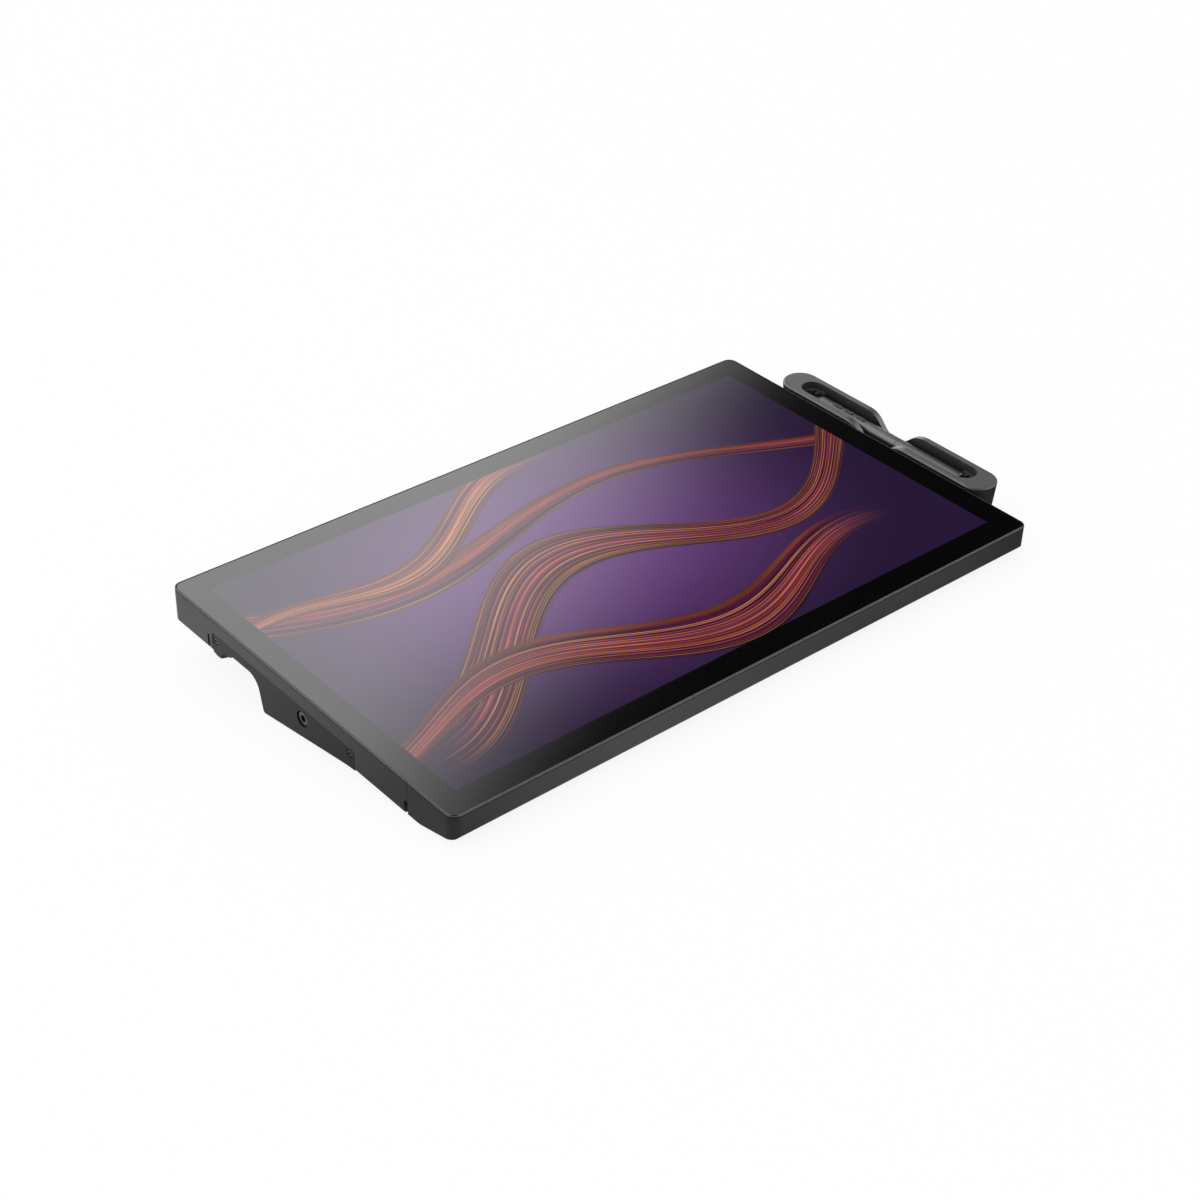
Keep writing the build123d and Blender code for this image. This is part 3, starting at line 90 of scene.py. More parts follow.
def pictureHalf():          # the printed border's inner corner is the corner nearest to the middle
    corners = [fromWorld @ vertex.co for vertex in nodes["border_mask"].data.vertices]
    nearest = min(corners, key=lambda corner: math.hypot(corner.x, corner.y))
    return abs(nearest.x) / millimetre, abs(nearest.y) / millimetre


# Small helpers for shader trees

def addNode(tree, kind, inputs=None, **settings):
    node = tree.nodes.new(kind)
    for name, value in settings.items():
        setattr(node, name, value)
    for name, value in (inputs or {}).items():
        if isinstance(value, bpy.types.NodeSocket):
            tree.links.new(value, node.inputs[name])
        else:
            node.inputs[name].default_value = value
    return node


def calc(tree, operation, *values, clamp=False):
    node = tree.nodes.new("ShaderNodeMath")
    node.operation = operation
    node.use_clamp = clamp
    for slot, value in zip(node.inputs, values):
        if isinstance(value, bpy.types.NodeSocket):
            tree.links.new(value, slot)
        else:
            slot.default_value = value
    return node.outputs[0]


def blendColour(tree, mask, under, over):
    node = tree.nodes.new("ShaderNodeMix")
    node.data_type = "RGBA"
    for name, value in (("Factor_Float", mask), ("A_Color", under), ("B_Color", over)):
        slot = next(entry for entry in node.inputs if entry.identifier == name)
        if isinstance(value, bpy.types.NodeSocket):
            tree.links.new(value, slot)
        else:
            slot.default_value = value
    return next(entry for entry in node.outputs if entry.identifier == "Result_Color")


def mapRange(tree, value, fromLow, fromHigh, toLow, toHigh, kind="LINEAR"):
    names = ("Value", "From Min", "From Max", "To Min", "To Max")
    inputs = dict(zip(names, (value, fromLow, fromHigh, toLow, toHigh)))
    return addNode(tree, "ShaderNodeMapRange", inputs, interpolation_type=kind).outputs["Result"]


def newGroup(name, inputs, outputs):
    tree = bpy.data.node_groups.new(name, "ShaderNodeTree")
    for socketName, kind, value in inputs:
        socket = tree.interface.new_socket(socketName, in_out="INPUT", socket_type=kind)
        if value is not None:
            socket.default_value = value
    for socketName, kind in outputs:
        tree.interface.new_socket(socketName, in_out="OUTPUT", socket_type=kind)
    return tree, tree.nodes.new("NodeGroupInput").outputs, tree.nodes.new("NodeGroupOutput").inputs


def newFinish(name):
    finish = bpy.data.materials.new(name)
    finish.use_nodes = True
    tree = finish.node_tree
    return finish, tree, tree.nodes["Principled BSDF"]


def objectPlace(tree):
    return addNode(tree, "ShaderNodeTexCoord").outputs["Object"]


def tabletPlace(tree):      # the same place in millimetres along the tablet's own directions
    mapping = addNode(tree, "ShaderNodeMapping", {
        "Vector": objectPlace(tree),
        "Location": origin,
        "Rotation": (lean, 0, 0),
        "Scale": (millimetre, millimetre, millimetre),
    }, vector_type="TEXTURE")
    return mapping.outputs["Vector"]


def useGroup(tree, group, **inputs):
    node = tree.nodes.new("ShaderNodeGroup")
    node.node_tree = group
    for name, value in inputs.items():
        slot = node.inputs[name]
        if isinstance(value, bpy.types.NodeSocket):
            tree.links.new(value, slot)
        else:
            slot.default_value = value
    return node.outputs


# The moulded grain of the plastics: fine pits, and a slow drift of tone and gloss over the piece

def makeMouldedGrain():
    tree, given, result = newGroup("mouldedGrain", [
        ("Place", "NodeSocketVector", None),
        ("Grain", "NodeSocketFloat", 0.4),
        ("Tone Change", "NodeSocketFloat", 0.1),
        ("Roughness", "NodeSocketFloat", 0.5),
        ("Roughness Change", "NodeSocketFloat", 0.05),
    ], [("Height", "NodeSocketFloat"), ("Tone", "NodeSocketFloat"), ("Roughness", "NodeSocketFloat")])
    perMetre = calc(tree, "DIVIDE", 1 / millimetre, given["Grain"])
    pits = addNode(tree, "ShaderNodeTexVoronoi", {
        "Vector": given["Place"], "Scale": perMetre, "Smoothness": 0.6}, feature="SMOOTH_F1")
    fine = addNode(tree, "ShaderNodeTexNoise", {
        "Vector": given["Place"], "Scale": perMetre, "Detail": 2.0})
    slow = addNode(tree, "ShaderNodeTexNoise", {
        "Vector": given["Place"], "Scale": 14.0, "Detail": 3.0, "Roughness": 0.55})
    height = calc(tree, "MULTIPLY_ADD", fine.outputs["Fac"], 0.5, pits.outputs["Distance"])
    tree.links.new(height, result["Height"])
    swing = calc(tree, "SUBTRACT", slow.outputs["Fac"], 0.5)
    grainTone = calc(tree, "MULTIPLY_ADD", calc(tree, "SUBTRACT", fine.outputs["Fac"], 0.5), 0.5, swing)
    tone = calc(tree, "MULTIPLY_ADD", grainTone, given["Tone Change"], 0.5, clamp=True)
    tree.links.new(tone, result["Tone"])
    rough = calc(tree, "MULTIPLY_ADD", swing, given["Roughness Change"], given["Roughness"], clamp=True)
    tree.links.new(rough, result["Roughness"])
    return tree


mouldedGrain = makeMouldedGrain()

# dark and light are the two ends of the tone, grain is the size of the pits in millimetres
plastics = {
    "casePlastic": {
        "nodes": ["main_housing", "front_trim"],
        "dark": (0.008, 0.008, 0.0085), "light": (0.016, 0.016, 0.017),
        "roughness": 0.42, "grain": 0.45, "depth": 0.000010, "specular": 0.5,
    },
    "coverPlastic": {
        "nodes": ["rear_cover", "left_grip_cover", "right_grip_cover", "port_bay"],
        "dark": (0.008, 0.008, 0.0085), "light": (0.017, 0.017, 0.018),
        "roughness": 0.48, "grain": 0.6, "depth": 0.000016, "specular": 0.5,
    },
    "sideCoverPlastic": {
        "nodes": ["left_side_cover", "right_side_cover"],
        "dark": (0.006, 0.006, 0.0065), "light": (0.012, 0.012, 0.013),
        "roughness": 0.46, "grain": 0.45, "depth": 0.000012, "specular": 0.22,
    },
    "keyPlastic": {
        "nodes": ["power_button", "touch_slider"] + [
            f"{side}_key_{number}" for side in ("left", "right") for number in range(1, 5)],
        "dark": (0.010, 0.010, 0.0105), "light": (0.020, 0.020, 0.021),
        "roughness": 0.38, "grain": 0.3, "depth": 0.000006, "specular": 0.5,
    },
    "trayPlastic": {
        "nodes": ["tray_body", "tray_spacer"],
        "dark": (0.005, 0.005, 0.0055), "light": (0.011, 0.011, 0.012),
        "roughness": 0.50, "grain": 0.45, "depth": 0.000014, "specular": 0.95,
    },
    "insertRubber": {
        "nodes": ["tray_insert", "glass_tape"],
        "dark": (0.020, 0.020, 0.021), "light": (0.040, 0.040, 0.042),
        "roughness": 0.72, "grain": 0.35, "depth": 0.000010, "specular": 0.35,
    },
    "penPlastic": {
        "nodes": ["pen_front_barrel", "pen_rear_barrel"],
        "dark": (0.008, 0.008, 0.0085), "light": (0.016, 0.016, 0.017),
        "roughness": 0.38, "grain": 0.25, "depth": 0.000005, "specular": 0.85,
    },
    "penTrimPlastic": {
        "nodes": ["pen_cone", "pen_switch_front", "pen_switch_middle", "pen_switch_rear"],
        "dark": (0.008, 0.008, 0.0085), "light": (0.015, 0.015, 0.016),
        "roughness": 0.30, "grain": 0.25, "depth": 0.000004, "specular": 0.6,
    },
    "nibPlastic": {
        "nodes": ["pen_nib", "spare_nibs"],
        "dark": (0.030, 0.030, 0.032), "light": (0.055, 0.055, 0.058),
        "roughness": 0.4, "grain": 0.2, "depth": 0.000004, "specular": 0.5,
    },
    "fanPlastic": {
        "nodes": ["fan_housings", "left_fan_rotor", "right_fan_rotor", "key_switches", "frame_posts"],
        "dark": (0.012, 0.012, 0.013), "light": (0.026, 0.026, 0.028),
        "roughness": 0.36, "grain": 0.5, "depth": 0.000008, "specular": 0.5,
    },
    "footRubber": {
        "nodes": ["rubber_feet"],
        "dark": (0.010, 0.010, 0.011), "light": (0.024, 0.024, 0.025),
        "roughness": 0.85, "grain": 0.5, "depth": 0.000030, "specular": 0.3,
    },
    "guideAcrylic": {
        "nodes": ["light_guide", "backlight_films"],
        "dark": (0.66, 0.68, 0.70), "light": (0.84, 0.86, 0.88),
        "roughness": 0.18, "grain": 1.2, "depth": 0.000010, "specular": 0.5,
    },
}
plasticToneChange = 0.9
plasticRoughnessChange = 0.10


def opaque(colour):
    return (*colour, 1.0)


def dress(nodeNames, finish):
    for name in nodeNames:
        for slot in nodes[name].material_slots:
            slot.material = finish


def mouldedFinish(name, look):
    finish, tree, shader = newFinish(name)
    grain = useGroup(tree, mouldedGrain, **{
        "Place": objectPlace(tree), "Grain": look["grain"], "Tone Change": plasticToneChange,
        "Roughness": look["roughness"], "Roughness Change": plasticRoughnessChange})
    colour = blendColour(tree, grain["Tone"], opaque(look["dark"]), opaque(look["light"]))
    tree.links.new(colour, shader.inputs["Base Color"])
    tree.links.new(grain["Roughness"], shader.inputs["Roughness"])
    shader.inputs["Specular IOR Level"].default_value = look["specular"]
    bump = addNode(tree, "ShaderNodeBump", {
        "Height": grain["Height"], "Strength": 1.0, "Distance": look["depth"]})
    tree.links.new(bump.outputs["Normal"], shader.inputs["Normal"])
    return finish


for name, look in plastics.items():
    dress(look["nodes"], mouldedFinish(name, look))
print("plastics made:", len(plastics))


# Metals: turned, rolled or etched, by how far the scratches are drawn out along one direction

def makeDrawnMetal():
    tree, given, result = newGroup("drawnMetal", [
        ("Place", "NodeSocketVector", None),
        ("Stretch", "NodeSocketVector", (1.0, 1.0, 1.0)),
        ("Roughness", "NodeSocketFloat", 0.3),
        ("Roughness Change", "NodeSocketFloat", 0.2),
    ], [("Height", "NodeSocketFloat"), ("Tone", "NodeSocketFloat"), ("Roughness", "NodeSocketFloat")])
    drawn = addNode(tree, "ShaderNodeVectorMath", {0: given["Place"], 1: given["Stretch"]},
                    operation="MULTIPLY")
    lines = addNode(tree, "ShaderNodeTexNoise", {
        "Vector": drawn.outputs["Vector"], "Scale": 1500.0, "Detail": 3.0})
    patches = addNode(tree, "ShaderNodeTexNoise", {"Vector": given["Place"], "Scale": 90.0, "Detail": 2.0})
    tree.links.new(lines.outputs["Fac"], result["Height"])
    tone = calc(tree, "MULTIPLY_ADD", lines.outputs["Fac"], 0.5, calc(
        tree, "MULTIPLY", patches.outputs["Fac"], 0.5), clamp=True)
    tree.links.new(tone, result["Tone"])
    swing = calc(tree, "SUBTRACT", tone, 0.5)
    rough = calc(tree, "MULTIPLY_ADD", swing, given["Roughness Change"], given["Roughness"], clamp=True)
    tree.links.new(rough, result["Roughness"])
    return tree


drawnMetal = makeDrawnMetal()

metals = {
    "blackScrewSteel": {
        "nodes": ["side_cover_screws", "cover_screws", "tray_screw", "frame_screws"],
        "dark": (0.05, 0.05, 0.052), "light": (0.13, 0.13, 0.135),
        "roughness": 0.42, "stretch": (1.0, 1.0, 1.0), "depth": 0.000006,
    },
    "insertSteel": {
        "nodes": ["mount_inserts"],
        "dark": (0.07, 0.07, 0.072), "light": (0.17, 0.17, 0.175),
        "roughness": 0.34, "stretch": (0.1, 1.0, 1.0), "depth": 0.000006,
    },
    "portSteel": {
        "nodes": ["usb_c_ports", "hdmi_port", "display_port", "dc_inlet"],
        "dark": (0.38, 0.38, 0.40), "light": (0.62, 0.62, 0.64),
        "roughness": 0.28, "stretch": (1.0, 0.08, 1.0), "depth": 0.000003,
    },
    "panSteel": {
        "nodes": ["backlight_tray", "shield_plate"],
        "dark": (0.46, 0.46, 0.48), "light": (0.66, 0.66, 0.68),
        "roughness": 0.36, "stretch": (0.05, 1.0, 1.0), "depth": 0.000004,
    },
    "frameAluminium": {
        "nodes": ["mid_frame"],
        "dark": (0.52, 0.53, 0.55), "light": (0.72, 0.73, 0.75),
        "roughness": 0.4, "stretch": (0.05, 1.0, 1.0), "depth": 0.000006,
    },
    "spreaderCopper": {
        "nodes": ["heat_spreader"],
        "dark": (0.50, 0.22, 0.12), "light": (0.78, 0.38, 0.22),
        "roughness": 0.32, "stretch": (0.06, 1.0, 1.0), "depth": 0.000004,
    },
}
metalRoughnessChange = 0.25


def metalFinish(name, look):
    finish, tree, shader = newFinish(name)
    drawn = useGroup(tree, drawnMetal, **{
        "Place": objectPlace(tree), "Stretch": look["stretch"],
        "Roughness": look["roughness"], "Roughness Change": metalRoughnessChange})
    colour = blendColour(tree, drawn["Tone"], opaque(look["dark"]), opaque(look["light"]))
    tree.links.new(colour, shader.inputs["Base Color"])
    tree.links.new(drawn["Roughness"], shader.inputs["Roughness"])
    shader.inputs["Metallic"].default_value = 1.0
    bump = addNode(tree, "ShaderNodeBump", {
        "Height": drawn["Height"], "Strength": 1.0, "Distance": look["depth"]})
    tree.links.new(bump.outputs["Normal"], shader.inputs["Normal"])
    return finish


for name, look in metals.items():
    dress(look["nodes"], metalFinish(name, look))
print("metals made:", len(metals))


# Boards and the layers of the screen, seen only when the tablet is taken apart

boardLook = {
    "nodes": ["main_board", "control_boards", "pen_core", "pen_sensor_board", "led_bar"],
    "mask": (0.010, 0.055, 0.028), "track": (0.020, 0.110, 0.055), "pitch": 1.4, "roughness": 0.34,
    "depth": 0.00003,
}


def boardFinish(look):
    finish, tree, shader = newFinish("boardGreen")
    place = tabletPlace(tree)
    tracks = addNode(tree, "ShaderNodeTexBrick", {
        "Vector": place, "Scale": 1 / look["pitch"], "Mortar Size": 0.06, "Mortar Smooth": 0.2,
        "Brick Width": 9.0, "Row Height": 1.0}, offset=0.37, squash=1.0)
    colour = blendColour(tree, tracks.outputs["Fac"], opaque(look["track"]), opaque(look["mask"]))
    tree.links.new(colour, shader.inputs["Base Color"])
    shader.inputs["Roughness"].default_value = look["roughness"]
    bump = addNode(tree, "ShaderNodeBump", {
        "Height": tracks.outputs["Fac"], "Strength": 0.5, "Distance": look["depth"]})
    tree.links.new(bump.outputs["Normal"], shader.inputs["Normal"])
    return finish


dress(boardLook["nodes"], boardFinish(boardLook))

panelLook = {
    "nodes": ["lcd_panel", "touch_sensor"],
    "glass": (0.035, 0.032, 0.045), "wire": (0.075, 0.070, 0.085), "pitch": 4.0, "roughness": 0.12,
}


def panelFinish(look):
    finish, tree, shader = newFinish("panelGlass")
    wires = addNode(tree, "ShaderNodeTexBrick", {
        "Vector": tabletPlace(tree), "Scale": 1 / look["pitch"], "Mortar Size": 0.03,
        "Brick Width": 1.0, "Row Height": 1.0}, offset=0.0, squash=1.0)
    colour = blendColour(tree, wires.outputs["Fac"], opaque(look["glass"]), opaque(look["wire"]))
    tree.links.new(colour, shader.inputs["Base Color"])
    shader.inputs["Roughness"].default_value = look["roughness"]
    return finish


dress(panelLook["nodes"], panelFinish(panelLook))


# The picture on the screen: long rolling waves of fine coloured threads on a violet ground

threadFade = 90.0               # millimetres over which a wave's end fades away


def makeThreadWave():
    tree, given, result = newGroup("threadWave", [
        ("Along", "NodeSocketFloat", None),
        ("Across", "NodeSocketFloat", None),
        ("Middle", "NodeSocketFloat", 0.0),
        ("Slope", "NodeSocketFloat", 0.0),
        ("Swing", "NodeSocketFloat", 30.0),
        ("Wavelength", "NodeSocketFloat", 300.0),
        ("Start", "NodeSocketFloat", 0.0),
        ("Half Width", "NodeSocketFloat", 20.0),
        ("Threads", "NodeSocketFloat", 12.0),
        ("Seed", "NodeSocketFloat", 1.0),
        ("Left End", "NodeSocketFloat", -300.0),
        ("Right End", "NodeSocketFloat", 300.0),
    ], [("Color", "NodeSocketColor"), ("Mask", "NodeSocketFloat")])
    turn = calc(tree, "DIVIDE", 2 * math.pi, given["Wavelength"])
    angle = calc(tree, "MULTIPLY_ADD", given["Along"], turn, given["Start"])
    wave = calc(tree, "MULTIPLY", calc(tree, "SINE", angle), given["Swing"])
    ramp = calc(tree, "MULTIPLY_ADD", given["Along"], given["Slope"], given["Middle"])
    centre = calc(tree, "ADD", wave, ramp)
    breath = calc(tree, "SINE", calc(tree, "MULTIPLY_ADD", angle, 0.61, given["Seed"]))
    halfWidth = calc(tree, "MULTIPLY", given["Half Width"], calc(tree, "MULTIPLY_ADD", breath, 0.32, 0.78))
    offset = calc(tree, "DIVIDE", calc(tree, "SUBTRACT", given["Across"], centre), halfWidth)
    lane = calc(tree, "MULTIPLY", offset, given["Threads"])
    number = calc(tree, "FLOOR", lane)
    inLane = calc(tree, "ABSOLUTE", calc(tree, "SUBTRACT", calc(tree, "FRACT", lane), 0.5))
    thread = mapRange(tree, inLane, 0.12, 0.46, 1.0, 0.16, "SMOOTHSTEP")
    chance = addNode(tree, "ShaderNodeTexWhiteNoise", {
        "W": calc(tree, "ADD", number, calc(tree, "MULTIPLY", given["Seed"], 17.0))},
        noise_dimensions="1D")
    hues = addNode(tree, "ShaderNodeValToRGB", {"Fac": chance.outputs["Value"]})
    stops = [
        (0.0, (0.030, 0.006, 0.060)), (0.18, (0.10, 0.012, 0.085)), (0.36, (0.25, 0.026, 0.105)),
        (0.56, (0.38, 0.050, 0.075)), (0.76, (0.50, 0.105, 0.050)), (0.91, (0.66, 0.22, 0.065)),
        (1.0, (0.80, 0.42, 0.14)),
    ]
    elements = hues.color_ramp.elements
    while len(elements) < len(stops):
        elements.new(1.0)
    for element, (place, colour) in zip(elements, stops):
        element.position = place
        element.color = opaque(colour)
    drift = addNode(tree, "ShaderNodeCombineXYZ", {
        "X": calc(tree, "DIVIDE", given["Along"], 90.0), "Y": calc(tree, "MULTIPLY", number, 0.31),
        "Z": given["Seed"]})
    glint = addNode(tree, "ShaderNodeTexNoise", {"Vector": drift.outputs["Vector"], "Scale": 1.0})
    glow = mapRange(tree, glint.outputs["Fac"], 0.3, 0.7, 0.35, 1.35)
    crown = mapRange(tree, calc(tree, "ABSOLUTE", offset), 0.15, 1.0, 1.0, 0.35, "SMOOTHSTEP")
    level = calc(tree, "MULTIPLY", calc(tree, "MULTIPLY", glow, crown), thread)
    lit = addNode(tree, "ShaderNodeVectorMath", {
        0: hues.outputs["Color"], "Scale": level}, operation="SCALE")
    tree.links.new(lit.outputs["Vector"], result["Color"])
    rim = mapRange(tree, calc(tree, "ABSOLUTE", offset), 0.80, 1.0, 1.0, 0.0, "SMOOTHSTEP")
    fromLeft = calc(tree, "SUBTRACT", given["Along"], given["Left End"])
    fromRight = calc(tree, "SUBTRACT", given["Right End"], given["Along"])
    fadeIn = mapRange(tree, fromLeft, 0.0, threadFade, 0.0, 1.0, "SMOOTHSTEP")
    fadeOut = mapRange(tree, fromRight, 0.0, threadFade, 0.0, 1.0, "SMOOTHSTEP")
    ends = calc(tree, "MULTIPLY", fadeIn, fadeOut)
    tree.links.new(calc(tree, "MULTIPLY", rim, ends), result["Mask"])
    return tree


threadWave = makeThreadWave()

screen = {
    "glassColour": (0.0025, 0.0025, 0.003),
    "roughness": 0.09,
    "ior": 1.5,
    "strength": 1.0,
    "shift": (-1.4, -1.55),     # lines the picture up, as if below the glass, from the photograph's camera
    "groundDark": (0.018, 0.007, 0.034),
    "groundBright": (0.125, 0.042, 0.185),
    "glowPlace": (-25.0, 20.0),
    "glowReach": 290.0,
    "waves": [
        {"Middle": 62.0, "Slope": -0.10, "Swing": 26.0, "Wavelength": 430.0, "Start": 0.6,
         "Half Width": 17.0, "Threads": 20.0, "Seed": 3.1, "Left End": -330.0, "Right End": 330.0},
        {"Middle": -18.0, "Slope": 0.16, "Swing": 44.0, "Wavelength": 360.0, "Start": 2.2,
         "Half Width": 30.0, "Threads": 32.0, "Seed": 1.7, "Left End": -240.0, "Right End": 340.0},
        {"Middle": -88.0, "Slope": -0.05, "Swing": 24.0, "Wavelength": 300.0, "Start": 4.4,
         "Half Width": 24.0, "Threads": 28.0, "Seed": 5.3, "Left End": -340.0, "Right End": 200.0},
        {"Middle": 112.0, "Slope": 0.22, "Swing": 20.0, "Wavelength": 250.0, "Start": 1.4,
         "Half Width": 15.0, "Threads": 18.0, "Seed": 7.9, "Left End": -330.0, "Right End": 60.0},
    ],
}


def screenFinish(look):
    finish, tree, shader = newFinish("screenGlass")
    place = tabletPlace(tree)
    shiftX, shiftY = look["shift"]
    moved = addNode(tree, "ShaderNodeVectorMath", {0: place, 1: (shiftX, shiftY, 0.0)},
                    operation="SUBTRACT")
    split = addNode(tree, "ShaderNodeSeparateXYZ", {"Vector": moved.outputs["Vector"]}).outputs
    across, deep = pictureHalf()
    withinX = calc(tree, "LESS_THAN", calc(tree, "ABSOLUTE", split["X"]), across)
    withinY = calc(tree, "LESS_THAN", calc(tree, "ABSOLUTE", split["Y"]), deep)
    inside = calc(tree, "MULTIPLY", withinX, withinY)
    glowX, glowY = look["glowPlace"]
    reach = calc(tree, "SQRT", calc(
        tree, "ADD",
        calc(tree, "POWER", calc(tree, "SUBTRACT", split["X"], glowX), 2.0),
        calc(tree, "POWER", calc(tree, "MULTIPLY", calc(tree, "SUBTRACT", split["Y"], glowY), 1.4), 2.0)))
    glow = mapRange(tree, reach, 0.0, look["glowReach"], 1.0, 0.0, "SMOOTHERSTEP")
    picture = blendColour(tree, glow, opaque(look["groundDark"]), opaque(look["groundBright"]))
    for wave in look["waves"]:
        band = useGroup(tree, threadWave, **{"Along": split["X"], "Across": split["Y"], **wave})
        picture = blendColour(tree, band["Mask"], picture, band["Color"])
    shown = blendColour(tree, inside, (0.0, 0.0, 0.0, 1.0), picture)
    tree.links.new(shown, shader.inputs["Emission Color"])
    shader.inputs["Emission Strength"].default_value = look["strength"]
    shader.inputs["IOR"].default_value = look["ior"]
    etch = useGroup(tree, mouldedGrain, **{
        "Place": objectPlace(tree), "Grain": 0.25, "Tone Change": 0.6,
        "Roughness": look["roughness"], "Roughness Change": 0.04})
    dark = tuple(value * 0.6 for value in look["glassColour"])
    colour = blendColour(tree, etch["Tone"], opaque(dark), opaque(look["glassColour"]))
    tree.links.new(colour, shader.inputs["Base Color"])
    tree.links.new(etch["Roughness"], shader.inputs["Roughness"])
    return finish


dress(["cover_glass", "border_mask"], screenFinish(screen))
print("screen made, picture", [round(half * 2, 1) for half in pictureHalf()], "mm")


# The feet: the moulded pads again, with a rounded tread edge and rings pressed into the sole

feetLook = {
    "edgeRound": 0.7,           # millimetres
    "edgeSteps": 3,
    "solidRing": 1.1,
    "grooveDeep": 0.6,
    "grooveWide": 0.7,
    "innerRing": 0.9,
    "flankSlope": 0.12,
    "soleSlack": 0.1,
    "mergeGap": 0.001,
    "flatWithin": 1.0,          # degrees
    "smoothWithin": 35.0,
}


def flatFaces(mesh, height, slack):
    return [face for face in mesh.faces
            if face.normal.z < -0.99 and abs(face.calc_center_median().z - height) < slack]


def selectOnly(mesh, faces):
    for face in mesh.faces:
        face.select_set(False)
    for edge in mesh.edges:
        edge.select_set(False)
    for vertex in mesh.verts:
        vertex.select_set(False)
    for face in faces:
        face.select_set(True)


def insetAndPush(wide, push):
    bpy.ops.mesh.inset(thickness=wide * millimetre)
    if push:
        bpy.ops.mesh.inset(thickness=feetLook["flankSlope"] * millimetre)
        bpy.ops.transform.translate(value=(0, 0, push * millimetre))


def makeFeet():
    bpy.ops.object.select_all(action="DESELECT")
    feet = bpy.data.objects.new("treadedFeet", nodes["rubber_feet"].data.copy())
    bpy.context.scene.collection.objects.link(feet)
    feet.select_set(True)
    bpy.context.view_layer.objects.active = feet
    bpy.ops.object.mode_set(mode="EDIT")
    bpy.ops.mesh.select_mode(type="FACE")
    bpy.ops.mesh.select_all(action="SELECT")
    bpy.ops.mesh.remove_doubles(threshold=feetLook["mergeGap"] * millimetre)
    bpy.ops.mesh.dissolve_limited(angle_limit=math.radians(feetLook["flatWithin"]))
    sole = cadBox[0][2]
    slack = feetLook["soleSlack"] * millimetre
    mesh = bmesh.from_edit_mesh(feet.data)
    selectOnly(mesh, flatFaces(mesh, sole, slack))
    bmesh.update_edit_mesh(feet.data)
    bpy.ops.mesh.region_to_loop()
    bpy.ops.mesh.bevel(offset=feetLook["edgeRound"] * millimetre, segments=feetLook["edgeSteps"],
                       affect="EDGES")
    bpy.ops.mesh.select_mode(type="FACE")
    mesh = bmesh.from_edit_mesh(feet.data)
    selectOnly(mesh, flatFaces(mesh, sole, slack))
    bmesh.update_edit_mesh(feet.data)
    for wide, push in (("solidRing", 1), ("grooveWide", -1), ("innerRing", 1)):
        insetAndPush(feetLook[wide], push * feetLook["grooveDeep"])
    bpy.ops.mesh.select_all(action="SELECT")
    bpy.ops.mesh.normals_make_consistent(inside=False)
    bpy.ops.object.mode_set(mode="OBJECT")
    bpy.ops.object.shade_smooth_by_angle(angle=math.radians(feetLook["smoothWithin"]))
    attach(feet, "tablet")
    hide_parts("rubber_feet")
    print("feet made with", len(feet.data.polygons), "faces")


makeFeet()


# The room: a pale floor, a sky whose reflection is brighter than its light on matt surfaces, and a lamp

studio = {
    "skyLow": 0.30,             # what lights the matt surfaces, from the front right and below
    "skyHigh": 1.15,            # and from above, behind the left side
    "skyDirection": (-0.45, 0.35, 0.82),
    "skyStart": -0.6,
    "skyEnd": 0.8,
    "softboxLevel": 4.1,
    "flagLevel": 0.012,
    "edgeDirection": (-0.4851, 0.8256, -0.2883),
    "edgeStart": -0.03,
    "edgeEnd": 0.085,
    "horizonLevel": 3.0,
    "horizonTop": 0.42,
    "fillLevel": 4.0,
    "fillDirection": (0.55, -0.60, 0.58),
    "fillInner": 0.93,
    "fillOuter": 0.72,
    "floorColour": (0.80, 0.80, 0.80),
    "floorSize": 12.0,
    "floorWhite": 1.06,
    "floorShadow": 0.16,        # the share of the matt floor, with its shadow, that the camera sees
    "floorGloss": 0.05,         # and that shiny surfaces see
    "floorPatches": [           # place, reach and level of what the floor shows in the walls
        (-0.33, 0.20, 0.46, 1.05),
        (-0.12, -0.26, 0.26, 1.35),
        (0.13, -0.26, 0.24, 0.75),
        (0.80, 0.45, 0.55, 1.10),
    ],
    "keyEnergy": 3.0,
    "keyPlace": (-1.6, 1.0, 2.2),
    "keySize": 1.6,
}


def toward(tree, direction, name):
    return addNode(tree, "ShaderNodeVectorMath", {
        0: direction, 1: Vector(studio[name]).normalized()}, operation="DOT_PRODUCT").outputs["Value"]


